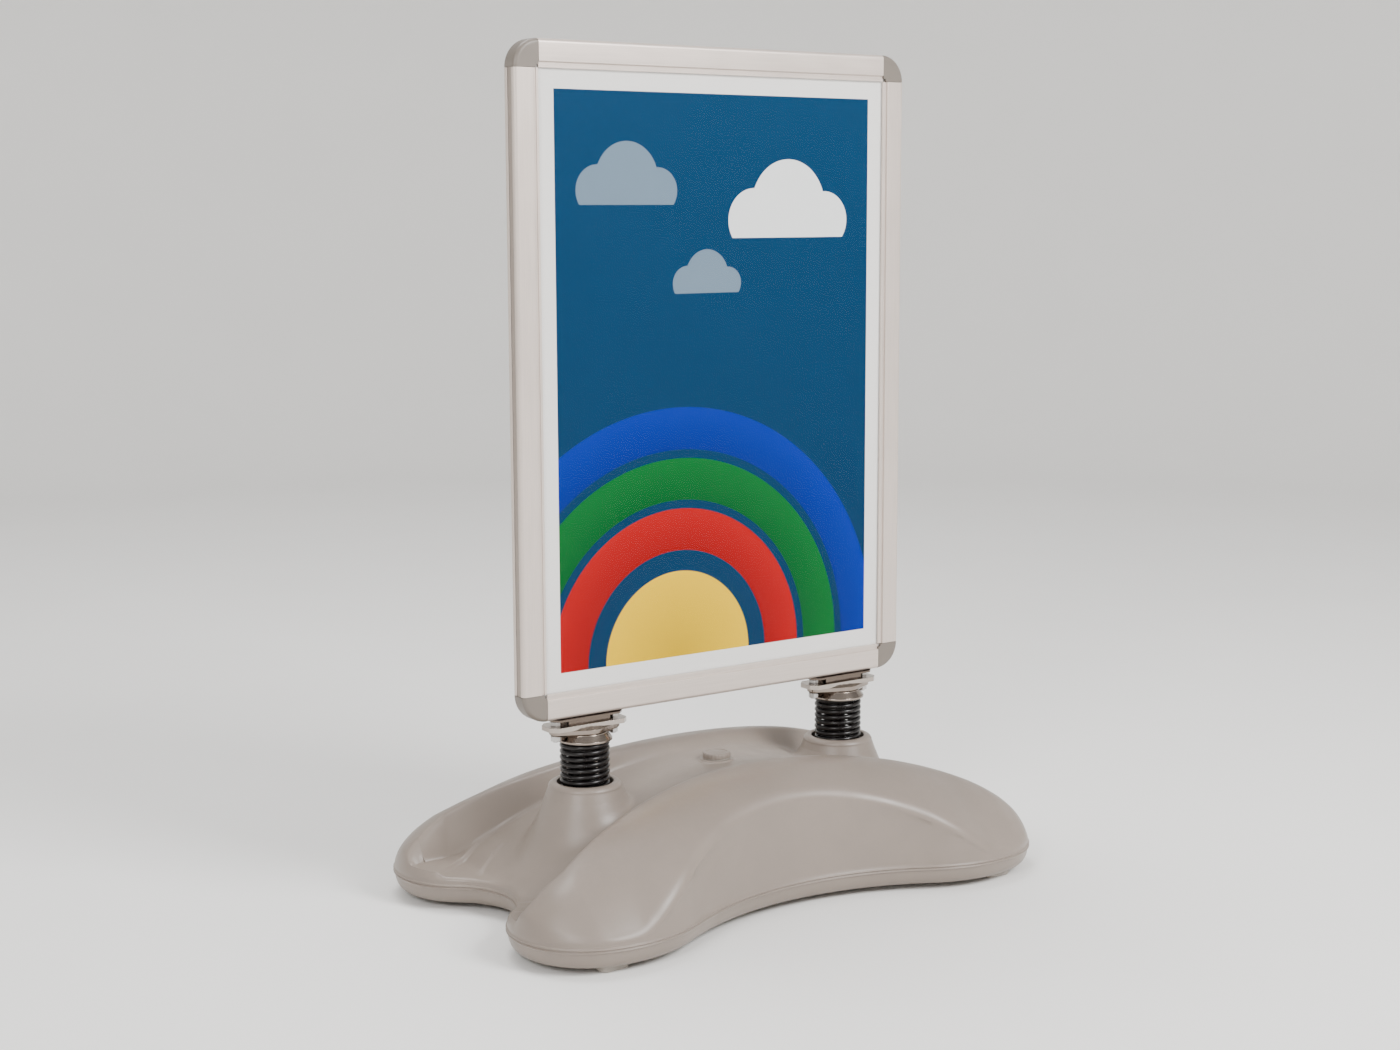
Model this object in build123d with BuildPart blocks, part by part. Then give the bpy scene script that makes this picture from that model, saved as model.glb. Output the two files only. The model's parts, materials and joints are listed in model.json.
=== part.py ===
from build123d import *
import os
from math import cos, pi, radians, sin, sqrt

# Double-sided pavement sign on a sprung, water-filled base.
# Millimetres. Z is up, X runs along the panel's width, the front faces -Y.
# The origin is on the ground, under the middle of the base.

# Poster and window
poster_width = 594.0
poster_height = 841.0
poster_lap = 10.0
poster_thickness = 0.4
cover_thickness = 1.0
board_thickness = 1.5
board_face = 6.6
sheet_clearance = 0.3

# Snap frame section, u outwards from the window edge, w out from the mid-plane
rail_width = 37.0
half_depth = 14.0
hinge_radius = 5.5
lid_wall = 1.6
lid_tail_angle = 40.0
lid_lip = 3.5
lid_groove = 4.0
lid_groove_depth = 2.7
lid_rib_rise = 1.2
lid_end_clearance = 0.4
lid_edge_break = 0.8
lip_clearance = 0.2
bead_radius = 1.9
hook_clearance = 0.08
hook_wall = 1.3
sweep_clearance = 0.3
band_recess = 1.5
rail_wall = 1.4
tube_width = 8.9
neck_thickness = 1.2
corner_notch = 4.0
brace_arm = 28.0
brace_clearance = 0.25
lid_spring_length = 26.0
lid_spring_thickness = 0.4
lid_spring_inset = 90.0
lid_spring_gap = 0.3
ledge_inset = 1.0
hook_start_angle = -55.0
hook_end_angle = 135.0
fence_rise = 1.0

# Heights
frame_base_z = 270.0

# Springs
spring_inset = 66.0
spring_mean_radius = 30.5
wire_diameter = 7.0
wire_facets = 6
spring_turns = 10
spring_floor_z = 150.0
seat_clearance = 0.3

# Clamps
cup_lip_z = 235.0
cup_radius = 38.0
cup_wall = 3.0
cup_top_radius = 31.0
cup_lip_height = 2.5
cup_ceiling_z = 240.0
ear_thickness = 8.0
ear_length = 108.0
ear_end_radius = 15.0
plate_length = 122.0
plate_width = 40.0
plate_thickness = 6.5
plate_crop = 9.0
plate_gap = 10.0
saddle_length = 66.0
saddle_width = 27.0
saddle_flange_length = 112.0
saddle_flange_width = 34.0
saddle_flange_thickness = 2.6
clamp_bolt_x = 46.0
bolt_radius = 4.0
bolt_head_radius = 7.5
bolt_head_height = 5.0
nut_height = 6.5
bolt_end = 2.0
hole_clearance = 0.25
thread_clearance = 0.05
centre_bolt_radius = 6.0
centre_bolt_length = 34.0
centre_head_radius = 12.0
centre_head_depth = 6.0
saddle_screw_x = 26.0
saddle_screw_radius = 2.0
screw_head_radius = 4.0
screw_head_depth = 2.2
screw_end = 2.5
nut_bar_length = 70.0
nut_bar_thickness = 5.0
anchor_plug_height = 26.0
anchor_plug_chamfer = 3.0

# Base tank, some places along X measured past the spring's axis
underside_z = 9.0
seam_z = 35.0
seam_proud = 1.4
seam_height = 2.4
front_waist_y = 185.0
lobe_past_spring = 75.8
lobe_top_y = 264.6
lobe_radius = 188.2
toe_turn = 14.0
toe_radius = 104.8
end_waist_past_spring = 124.0
wall_draft = 6.0
under_inset = 9.0
edge_radius = 8.0
under_radius = 6.0
crest_z = 190.0
crest_arch_radius = 788.0
crest_y = 94.3
crest_spread = 66.4
crest_steepness = 1.6
plank_slope = 0.44
edge_top_z = 158.0
edge_arch_radius = 445.0
valley_z = 172.0
valley_arch_radius = 529.0
rim_top_z = 46.0
rim_blend = 4.0
toe_drop_past_spring = 134.0
top_overhang = 24.0
top_stations = 20
top_rows = 6
sheet_fit = 0.5
sheet_degree = 3
turret_top_z = 177.0
turret_radius = 50.0
turret_foot_radius = 88.0
turret_foot_z = 70.0
turret_rim_radius = 5.0
recess_radius = 38.5
recess_mouth_radius = 2.0
bolt_tunnel_radius = 6.3
underside_recess_radius = 22.0
underside_recess_depth = 60.0
anchor_bolt_radius = 6.0
anchor_bolt_grip = 18.0
anchor_head_radius = 10.5
anchor_head_height = 7.5
washer_radius = 19.0
washer_thickness = 3.0

# Filler plug
boss_top_z = 174.5
neck_radius = 15.0
neck_depth = 45.0
plug_radius = 20.0
plug_height = 7.5
plug_thread_length = 14.0
plug_edge = 1.0
seal_inner_gap = 0.3
seal_radius = 19.0
seal_thickness = 1.6
boss_radius = 24.0
grip_slots = 12
grip_slot_radius = 1.4

# Feet
foot_past_spring = 106.0
foot_y = 228.0
foot_length = 42.0
foot_width = 26.0
foot_corner = 9.0
foot_edge = 1.5
foot_stem_radius = 5.0
foot_stem_length = 10.0

# Values worked out from the ones above
window_width = poster_width - 2 * poster_lap
window_height = poster_height - 2 * poster_lap
window_base_z = frame_base_z + rail_width
hinge_u = rail_width - hinge_radius
hinge_w = half_depth - hinge_radius
board_top = board_face + board_thickness
poster_top = board_top + poster_thickness
cover_top = poster_top + cover_thickness
lip_w = cover_top + lip_clearance
face_u = lid_lip + lid_groove
fence_u = poster_lap + sheet_clearance
tube_start_u = fence_u + rail_wall
tube_end_u = tube_start_u + tube_width
box_half = hinge_w + neck_thickness / 2
tube_half = box_half - rail_wall
box_end_u = tube_end_u + rail_wall
band_u = rail_width - band_recess
pocket_radius = hinge_radius + sweep_clearance
band_half = hinge_w - sqrt(pocket_radius**2 - (band_u - hinge_u) ** 2)
lid_inner_w = half_depth - lid_wall
groove_w = half_depth - lid_groove_depth
window_top_z = window_base_z + window_height
window_half = window_width / 2
plate_top_z = frame_base_z - plate_gap
plate_base_z = plate_top_z - plate_thickness
ear_base_z = plate_base_z - ear_thickness
spring_start_z = spring_floor_z + wire_diameter / 2 + seat_clearance
spring_end_z = cup_ceiling_z - wire_diameter / 2 - seat_clearance
spring_pitch = (spring_end_z - spring_start_z) / spring_turns
anchor_plug_radius = spring_mean_radius - wire_diameter / 2 - seat_clearance
spring_x = window_half - spring_inset
lobe_x = spring_x + lobe_past_spring
lobe_centre_y = lobe_top_y - lobe_radius
toe_x = lobe_x + (lobe_radius - toe_radius) * sin(radians(toe_turn))
toe_y = lobe_centre_y + (lobe_radius - toe_radius) * cos(radians(toe_turn))
toe_tip_x = toe_x + toe_radius
lobe_end_x = lobe_x + lobe_radius * sin(radians(toe_turn))
front_rise = lobe_top_y - front_waist_y
front_reach = (lobe_x**2 + front_rise**2) / (2 * front_rise)
front_waist_radius = front_reach - lobe_radius
front_join_x = lobe_x * front_waist_radius / front_reach
end_waist_x = spring_x + end_waist_past_spring
end_run = end_waist_x - toe_x
end_waist_radius = (end_run**2 + toe_y**2 - toe_radius**2) / (2 * (toe_radius - end_run))
toe_drop_start = spring_x + toe_drop_past_spring
foot_x = spring_x + foot_past_spring

os.makedirs("parts", exist_ok=True)


def save(part, name):
    """Label one finished piece and write it as its own file."""
    part.part.label = name
    export_step(part.part, f"parts/{name}.step")


def polar(centre_u, centre_w, radius, angle):
    """A point at an angle in degrees round a centre."""
    return (centre_u + radius * cos(radians(angle)), centre_w + radius * sin(radians(angle)))


def flip(point, side):
    """Carry a point of the front section to the given side of the mid-plane."""
    return (point[0], side * point[1])


# Base tank: plan outline


def plan_half_width(x):
    """Half width of the plan at x, along the waist, the lobe and the toe."""
    x = abs(x)
    if x < front_join_x:
        return front_waist_y + front_waist_radius - sqrt(front_waist_radius**2 - x**2)
    if x < lobe_end_x:
        return lobe_centre_y + sqrt(lobe_radius**2 - (lobe_x - x) ** 2)
    reach = min(x - toe_x, toe_radius)
    return toe_y + sqrt(toe_radius**2 - reach**2)


def on_circle(centre, radius, start, end):
    """The middle point of the short arc between two points of a circle."""
    mid = ((start[0] + end[0]) / 2 - centre[0], (start[1] + end[1]) / 2 - centre[1])
    length = sqrt(mid[0] ** 2 + mid[1] ** 2)
    return (centre[0] + mid[0] * radius / length, centre[1] + mid[1] * radius / length)


def between(start, end, share):
    """The point at a share of the way from one point to another."""
    return (start[0] + (end[0] - start[0]) * share, start[1] + (end[1] - start[1]) * share)


def plan_arcs(grow=0.0):
    """Tangent arcs of one quarter of the plan, from the front waist to the end waist, moved out by grow."""
    front_centre = (0.0, front_waist_y + front_waist_radius)
    lobe_centre = (lobe_x, lobe_centre_y)
    toe_centre = (toe_x, toe_y)
    end_centre = (end_waist_x + end_waist_radius, 0.0)
    waist_front = front_waist_radius - grow
    waist_end = end_waist_radius - grow
    lobe = lobe_radius + grow
    toe = toe_radius + grow
    middle = (0.0, front_waist_y + grow)
    join_front = between(front_centre, lobe_centre, waist_front / (waist_front + lobe))
    join_toe = (lobe_x + lobe * sin(radians(toe_turn)), lobe_centre_y + lobe * cos(radians(toe_turn)))
    join_end = between(end_centre, toe_centre, waist_end / (waist_end + toe))
    end = (end_waist_x + grow, 0.0)
    return [
        (middle, on_circle(front_centre, waist_front, middle, join_front), join_front),
        (join_front, on_circle(lobe_centre, lobe, join_front, join_toe), join_toe),
        (join_toe, on_circle(toe_centre, toe, join_toe, join_end), join_end),
        (join_end, on_circle(end_centre, waist_end, join_end, end), end),
    ]


def draw_plan(grow=0.0):
    """Draw the whole plan outline into the open BuildLine, anticlockwise."""
    quarter = plan_arcs(grow)
    reverse = [arc[::-1] for arc in reversed(quarter)]
    for sign_x, sign_y, arcs in ((1, 1, reverse), (-1, 1, quarter), (-1, -1, reverse), (1, -1, quarter)):
        for arc in arcs:
            ThreePointArc(*[(sign_x * p[0], sign_y * p[1]) for p in arc])


# Base tank: arched top, a smooth sheet through points that its height formula gives


def above_rim(height):
    """The height, blended so that it never falls below the rim round the ends."""
    over = height - rim_top_z
    return rim_top_z + (over + sqrt(over**2 + rim_blend**2)) / 2


def arch(apex, radius, x):
    """Height of an arch of the given apex and radius at x."""
    return above_rim(apex - radius + sqrt(radius**2 - min(abs(x), toe_tip_x) ** 2))


def crest_height(x):
    """The crest follows its arch and rounds down over the toe to the rim."""
    past = max(abs(x) - toe_drop_start, 0.0) / (toe_tip_x - toe_drop_start)
    return rim_top_z + (arch(crest_z, crest_arch_radius, x) - rim_top_z) * max(1 - past**2, 0.0)


def crest_place(x):
    """Distance of the crest from the middle line."""
    return crest_y + crest_spread * min(abs(x) / toe_drop_start, 1.0) ** 2


def top_profile(x):
    """Half of the top profile of the section at x, from the middle line outwards."""
    valley = arch(valley_z, valley_arch_radius, x)
    crest = crest_height(x)
    place = crest_place(x)
    edge = max(plan_half_width(x), place + top_overhang)
    drop = max(crest - arch(edge_top_z, edge_arch_radius, min(abs(x), toe_drop_start)), 0.0)
    points = []
    for row in range(top_rows):
        share = row / top_rows
        inner = share**2 * (3 - 2 * share) - crest_steepness * share**2 * (1 - share)
        points.append((place * share, valley + (crest - valley) * inner))
    for row in range(top_rows + 2):
        share = row / top_rows
        outer = plank_slope * share + (1 - plank_slope) * share**2
        points.append((place + (edge - place) * share, crest - drop * outer))
    return points


top_points = []
for station in range(-top_stations, top_stations + 1):
    x = (toe_tip_x + top_overhang) * station / top_stations
    half = top_profile(x)
    top_points.append([Vector(x, -y, z) for y, z in reversed(half[1:])] + [Vector(x, y, z) for y, z in half])
top_sheet = Face.make_surface_from_array_of_points(top_points, tol=sheet_fit, min_deg=sheet_degree, max_deg=sheet_degree)


# Base tank: walls, turrets and openings


def upright(x, y=0.0):
    """A plane standing on the ground at a place, with its own x along X and its own y up."""
    return Plane(origin=(x, y, 0), x_dir=(1, 0, 0), z_dir=(0, -1, 0))


def upright_axis(x, y=0.0):
    """The vertical axis at a place."""
    return Axis((x, y, 0), (0, 0, 1))


with BuildPart() as base_tank:
    with BuildSketch(Plane.XY.offset(seam_z)):
        with BuildLine():
            draw_plan()
        make_face()
    extrude(amount=crest_z - seam_z + edge_radius, taper=wall_draft)
    extrude(top_sheet, amount=crest_z, dir=(0, 0, -1), mode=Mode.INTERSECT)
    top_edges = base_tank.edges().filter_by(GeomType.LINE, reverse=True).filter_by_position(
        Axis.Z, seam_z + seam_height, crest_z)
    fillet(top_edges, edge_radius)

    # Lower half below the parting line, drawn in to the underside
    with BuildSketch(Plane.XY.offset(underside_z)):
        with BuildLine():
            draw_plan(-under_inset)
        make_face()
    with BuildSketch(Plane.XY.offset(seam_z)):
        with BuildLine():
            draw_plan()
        make_face()
    loft()
    fillet(base_tank.edges().group_by(Axis.Z)[0], under_radius)

    # Ridge along the parting line
    with BuildSketch(Plane.XY.offset(seam_z - seam_height / 2)):
        with BuildLine():
            draw_plan(seam_proud)
        make_face()
    extrude(amount=seam_height)

    # Spring turrets, then the recess, bolt tunnel and underside recess through each
    for x in (-spring_x, spring_x):
        with BuildSketch(upright(x)):
            with BuildLine():
                rim_start = (turret_radius, turret_top_z - turret_rim_radius)
                rim_end = (turret_radius - turret_rim_radius, turret_top_z)
                Polyline(rim_end, (0, turret_top_z), (0, turret_foot_z), (turret_foot_radius, turret_foot_z))
                TangentArc(rim_start, (turret_foot_radius, turret_foot_z), tangent=(0, -1))
                RadiusArc(rim_start, rim_end, -turret_rim_radius)
            make_face()
        revolve(axis=upright_axis(x))
    for x in (-spring_x, spring_x):
        with BuildSketch(upright(x)):
            with BuildLine():
                mouth_start = (recess_radius, turret_top_z - recess_mouth_radius)
                mouth_end = (recess_radius + recess_mouth_radius, turret_top_z)
                Polyline(mouth_end, (recess_radius + recess_mouth_radius, crest_z), (0, crest_z),
                         (0, underside_z), (underside_recess_radius, underside_z),
                         (underside_recess_radius, underside_z + underside_recess_depth),
                         (bolt_tunnel_radius, underside_z + underside_recess_depth),
                         (bolt_tunnel_radius, spring_floor_z), (recess_radius, spring_floor_z), mouth_start)
                RadiusArc(mouth_start, mouth_end, recess_mouth_radius)
            make_face()
        revolve(axis=upright_axis(x), mode=Mode.SUBTRACT)

    # Filler boss and neck
    with Locations((0, 0, boss_top_z)):
        Cylinder(boss_radius, neck_depth, align=(Align.CENTER, Align.CENTER, Align.MAX))
        Cylinder(neck_radius, neck_depth, align=(Align.CENTER, Align.CENTER, Align.MAX), mode=Mode.SUBTRACT)

    # Sockets for the foot stems
    with BuildSketch(Plane.XY.offset(underside_z)):
        with GridLocations(2 * foot_x, 2 * foot_y, 2, 2):
            Circle(foot_stem_radius + hole_clearance)
    extrude(amount=foot_stem_length + hole_clearance, mode=Mode.SUBTRACT)
save(base_tank, "base_tank")
print("tank", base_tank.part.is_valid, round(base_tank.part.volume / 1e6, 2), "litres")

with BuildPart() as foot_pads:
    with BuildSketch():
        with GridLocations(2 * foot_x, 2 * foot_y, 2, 2):
            RectangleRounded(foot_length, foot_width, foot_corner)
    extrude(amount=underside_z)
    chamfer(foot_pads.edges().group_by(Axis.Z)[0], foot_edge)
    with BuildSketch(Plane.XY.offset(underside_z)):
        with GridLocations(2 * foot_x, 2 * foot_y, 2, 2):
            Circle(foot_stem_radius)
    extrude(amount=foot_stem_length)
save(foot_pads, "foot_pads")


# Filler plug and its seal
cap_base_z = boss_top_z + seal_thickness

with BuildPart() as filler_seal:
    with BuildSketch(Plane.XY.offset(boss_top_z)):
        Circle(seal_radius)
        Circle(neck_radius + seal_inner_gap, mode=Mode.SUBTRACT)
    extrude(amount=seal_thickness)
save(filler_seal, "filler_seal")

with BuildPart() as filler_plug:
    with BuildSketch(Plane.XY.offset(cap_base_z)):
        Circle(plug_radius)
        with PolarLocations(plug_radius + grip_slot_radius / 2, grip_slots):
            Circle(grip_slot_radius, mode=Mode.SUBTRACT)
    extrude(amount=plug_height)
    chamfer(filler_plug.faces().sort_by(Axis.Z)[-1].edges(), plug_edge)
    with BuildSketch(Plane.XY.offset(cap_base_z)):
        Circle(neck_radius - thread_clearance)
    extrude(amount=-plug_thread_length)
    chamfer(filler_plug.faces().sort_by(Axis.Z)[0].edges(), plug_edge)
save(filler_plug, "filler_plug")


# Springs


def helix_point(x, turn, start_angle):
    """Point of the wire's centre line and its unit tangent after a number of turns."""
    angle = start_angle + 2 * pi * turn
    point = Vector(x + spring_mean_radius * cos(angle), spring_mean_radius * sin(angle),
                   spring_start_z + spring_pitch * turn)
    tangent = Vector(-sin(angle) * spring_mean_radius, cos(angle) * spring_mean_radius, spring_pitch / (2 * pi))
    return point, tangent.normalized()


def biarc(start, start_tangent, end, end_tangent):
    """Two tangent arcs that join at an even distance along both end tangents."""
    gap = end - start
    tangents = start_tangent + end_tangent
    spread = 2 * (1 - start_tangent.dot(end_tangent))
    along = gap.dot(tangents)
    reach = (sqrt(along**2 + spread * gap.dot(gap)) - along) / spread
    start_handle = start + start_tangent * reach
    end_handle = end - end_tangent * reach
    join = (start_handle + end_handle) * 0.5
    TangentArc(start, join, tangent=start_tangent)
    TangentArc(join, end, tangent=end_handle - start_handle)


def least_self_gap(wire):
    """Least gap of the wire's surface to itself, measured between points over half a turn apart."""
    steps_per_turn = 24
    count = int(spring_turns * steps_per_turn)
    points = [wire @ (n / count) for n in range(count + 1)]
    away = steps_per_turn // 2
    gaps = [(points[i] - points[j]).length for i in range(count + 1) for j in range(i + away, count + 1)]
    return min(gaps) - wire_diameter


for name, x, start_angle in (("spring_left", -spring_x, pi), ("spring_right", spring_x, 0.0)):
    with BuildPart() as spring:
        with BuildLine() as coil:
            for half_turn in range(2 * spring_turns):
                start, start_tangent = helix_point(x, half_turn / 2, start_angle)
                end, end_tangent = helix_point(x, (half_turn + 1) / 2, start_angle)
                biarc(start, start_tangent, end, end_tangent)
        first_point, first_tangent = helix_point(x, 0, start_angle)
        with BuildSketch(Plane(origin=first_point, z_dir=first_tangent)):
            RegularPolygon(wire_diameter / 2, wire_facets)
        sweep(path=coil.wires()[0])
    save(spring, name)
    print(name, "least gap to itself", round(least_self_gap(coil.wires()[0]), 2), "mm")


# Anchor plugs inside the springs, bolts and washers under the tank
tunnel_base_z = underside_z + underside_recess_depth
anchor_bolt_top_z = spring_floor_z + anchor_bolt_grip

for name, x in (("left", -spring_x), ("right", spring_x)):
    with BuildPart() as lower_anchor:
        with BuildSketch(Plane.XY.offset(spring_floor_z)):
            with Locations((x, 0)):
                Circle(anchor_plug_radius)
                Circle(anchor_bolt_radius + thread_clearance, mode=Mode.SUBTRACT)
        extrude(amount=anchor_plug_height)
        chamfer(lower_anchor.faces().sort_by(Axis.Z)[-1].outer_wire().edges(), anchor_plug_chamfer)
    save(lower_anchor, f"lower_anchor_{name}")

    with BuildPart() as upper_anchor:
        with BuildSketch(Plane.XY.offset(cup_ceiling_z)):
            with Locations((x, 0)):
                Circle(anchor_plug_radius)
                Circle(centre_bolt_radius + thread_clearance, mode=Mode.SUBTRACT)
        extrude(amount=-anchor_plug_height)
        chamfer(upper_anchor.faces().sort_by(Axis.Z)[0].outer_wire().edges(), anchor_plug_chamfer)
    save(upper_anchor, f"upper_anchor_{name}")

with BuildPart() as anchor_bolts:
    with BuildSketch(Plane.XY.offset(tunnel_base_z - washer_thickness)):
        with Locations((-spring_x, 0), (spring_x, 0)):
            RegularPolygon(anchor_head_radius, 6)
    extrude(amount=-anchor_head_height)
    with BuildSketch(Plane.XY.offset(tunnel_base_z - washer_thickness)):
        with Locations((-spring_x, 0), (spring_x, 0)):
            Circle(anchor_bolt_radius)
    extrude(amount=anchor_bolt_top_z - tunnel_base_z + washer_thickness)
save(anchor_bolts, "anchor_bolts")

with BuildPart() as anchor_washers:
    with BuildSketch(Plane.XY.offset(tunnel_base_z)):
        with Locations((-spring_x, 0), (spring_x, 0)):
            Circle(washer_radius)
            Circle(anchor_bolt_radius + hole_clearance, mode=Mode.SUBTRACT)
    extrude(amount=-washer_thickness)
save(anchor_washers, "anchor_washers")


# Clamps between the springs and the panel
saddle_top_z = frame_base_z - sweep_clearance
flange_base_z = saddle_top_z - saddle_flange_thickness
band_z = window_base_z - band_u
nut_bar_base_z = window_base_z - tube_end_u
nut_bar_top_z = nut_bar_base_z + nut_bar_thickness


def screw_spots(x):
    """Places of the two screws that hold one saddle to the bottom rail."""
    return [(x - saddle_screw_x, 0), (x + saddle_screw_x, 0)]


def bolt_spots(x):
    """Places of the two bolts that hold one clamp plate to the ears of its cup."""
    return [(x - clamp_bolt_x, 0), (x + clamp_bolt_x, 0)]


for name, x in (("left", -spring_x), ("right", spring_x)):
    # Round cup over the spring's top, with a lip, under a two-eared flange
    with BuildPart() as spring_cup:
        with BuildSketch(Plane.XY.offset(ear_base_z)):
            with Locations((x, 0)):
                Circle(cup_top_radius)
                with Locations((ear_end_radius - ear_length / 2, 0), (ear_length / 2 - ear_end_radius, 0)):
                    Circle(ear_end_radius)
            make_hull()
        extrude(amount=ear_thickness)
        chamfer(spring_cup.edges().group_by(Axis.Z)[0], cup_lip_height)
        with BuildSketch(upright(x)):
            with BuildLine():
                Polyline((0, ear_base_z + 1), (cup_top_radius, ear_base_z + 1), (cup_top_radius, ear_base_z),
                         (cup_radius, cup_lip_z + cup_lip_height), (cup_radius, cup_lip_z),
                         (cup_radius - cup_wall, cup_lip_z), (cup_radius - cup_wall, cup_ceiling_z),
                         (0, cup_ceiling_z), close=True)
            make_face()
        revolve(axis=upright_axis(x))
        with BuildSketch(Plane.XY.offset(ear_base_z)):
            with Locations(*bolt_spots(x)):
                Circle(bolt_radius + hole_clearance)
        extrude(amount=ear_thickness, mode=Mode.SUBTRACT)
        with BuildSketch(upright(x)):
            with BuildLine():
                Polyline((0, plate_base_z), (centre_head_radius, plate_base_z),
                         (centre_bolt_radius + hole_clearance, plate_base_z - centre_head_depth),
                         (centre_bolt_radius + hole_clearance, cup_ceiling_z), (0, cup_ceiling_z), close=True)
            make_face()
        revolve(axis=upright_axis(x), mode=Mode.SUBTRACT)
    save(spring_cup, f"spring_cup_{name}")

    with BuildPart() as clamp_plate:
        with BuildSketch(Plane.XY.offset(plate_base_z)):
            with Locations((x, 0)):
                Rectangle(plate_length, plate_width)
            chamfer(vertices(), plate_crop)
            with Locations(*bolt_spots(x)):
                Circle(bolt_radius + hole_clearance, mode=Mode.SUBTRACT)
            with Locations(*screw_spots(x)):
                Circle(saddle_screw_radius + hole_clearance, mode=Mode.SUBTRACT)
        extrude(amount=plate_thickness)
        for spot in screw_spots(x):
            with BuildSketch(upright(*spot)):
                with BuildLine():
                    Polyline((0, plate_base_z), (screw_head_radius, plate_base_z),
                             (saddle_screw_radius + hole_clearance, plate_base_z + screw_head_depth),
                             (0, plate_base_z + screw_head_depth), close=True)
                make_face()
            revolve(axis=upright_axis(*spot), mode=Mode.SUBTRACT)
    save(clamp_plate, f"clamp_plate_{name}")

    # Block, wide flange and the rib that reaches the rail's band between the two lids
    with BuildPart() as clamp_saddle:
        with BuildSketch(Plane.XY.offset(plate_top_z)):
            with Locations((x, 0)):
                Rectangle(saddle_length, saddle_width)
        extrude(amount=flange_base_z - plate_top_z)
        with BuildSketch(Plane.XY.offset(flange_base_z)):
            with Locations((x, 0)):
                Rectangle(saddle_flange_length, saddle_flange_width)
            chamfer(vertices(), plate_crop)
        extrude(amount=saddle_flange_thickness)
        with BuildSketch(Plane.XY.offset(saddle_top_z)):
            with Locations((x, 0)):
                Rectangle(saddle_flange_length, 2 * (band_half - sweep_clearance))
        extrude(amount=band_z - saddle_top_z)
        with BuildSketch(Plane.XY.offset(plate_top_z)):
            with Locations(*screw_spots(x)):
                Circle(saddle_screw_radius + hole_clearance)
        extrude(amount=band_z - plate_top_z, mode=Mode.SUBTRACT)
    save(clamp_saddle, f"clamp_saddle_{name}")

both_bolt_spots = bolt_spots(-spring_x) + bolt_spots(spring_x)
both_screw_spots = screw_spots(-spring_x) + screw_spots(spring_x)

with BuildPart() as clamp_bolts:
    with BuildSketch(Plane.XY.offset(plate_top_z)):
        with Locations(*both_bolt_spots):
            RegularPolygon(bolt_head_radius, 6)
    extrude(amount=bolt_head_height)
    with BuildSketch(Plane.XY.offset(plate_top_z)):
        with Locations(*both_bolt_spots):
            Circle(bolt_radius)
    extrude(amount=ear_base_z - nut_height - bolt_end - plate_top_z)
save(clamp_bolts, "clamp_bolts")

with BuildPart() as clamp_nuts:
    with BuildSketch(Plane.XY.offset(ear_base_z)):
        with Locations(*both_bolt_spots):
            RegularPolygon(bolt_head_radius, 6)
            Circle(bolt_radius + thread_clearance, mode=Mode.SUBTRACT)
    extrude(amount=-nut_height)
save(clamp_nuts, "clamp_nuts")

with BuildPart() as centre_bolts:
    for x in (-spring_x, spring_x):
        with BuildSketch(upright(x)):
            with BuildLine():
                Polyline((0, plate_base_z), (centre_head_radius - hole_clearance, plate_base_z),
                         (centre_bolt_radius, plate_base_z - centre_head_depth),
                         (centre_bolt_radius, plate_base_z - centre_bolt_length),
                         (0, plate_base_z - centre_bolt_length), close=True)
            make_face()
        revolve(axis=upright_axis(x))
save(centre_bolts, "centre_bolts")

with BuildPart() as saddle_screws:
    for spot in both_screw_spots:
        with BuildSketch(upright(*spot)):
            with BuildLine():
                Polyline((0, plate_base_z), (screw_head_radius - hole_clearance, plate_base_z),
                         (saddle_screw_radius, plate_base_z + screw_head_depth),
                         (saddle_screw_radius, nut_bar_top_z + screw_end),
                         (0, nut_bar_top_z + screw_end), close=True)
            make_face()
        revolve(axis=upright_axis(*spot))
save(saddle_screws, "saddle_screws")

with BuildPart() as nut_bars:
    with BuildSketch(Plane.XY.offset(nut_bar_base_z)):
        with Locations((-spring_x, 0), (spring_x, 0)):
            Rectangle(nut_bar_length, 2 * (tube_half - brace_clearance))
        with Locations(*both_screw_spots):
            Circle(saddle_screw_radius + thread_clearance, mode=Mode.SUBTRACT)
    extrude(amount=nut_bar_thickness)
save(nut_bars, "nut_bars")


# Carcass rails, lids and leaf springs
rails = {
    "bottom": ((-window_half, 0, window_base_z), (0, 0, -1), window_width),
    "right": ((window_half, 0, window_base_z), (1, 0, 0), window_height),
    "top": ((window_half, 0, window_top_z), (0, 0, 1), window_width),
    "left": ((-window_half, 0, window_top_z), (-1, 0, 0), window_height),
}


def rail_plane(origin, outward, along=0.0):
    """Section plane of a rail, its own x outwards from the window and its own y to the back."""
    run = Vector(*outward).cross(Vector(0, 1, 0))
    return Plane(origin=Vector(*origin) + run * along, x_dir=outward, z_dir=run)


def block(u_start, u_end, w_start, w_end, mode=Mode.ADD):
    """A rectangle of the section between two u and two w."""
    with Locations(((u_start + u_end) / 2, (w_start + w_end) / 2)):
        Rectangle(u_end - u_start, abs(w_end - w_start), mode=mode)


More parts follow.
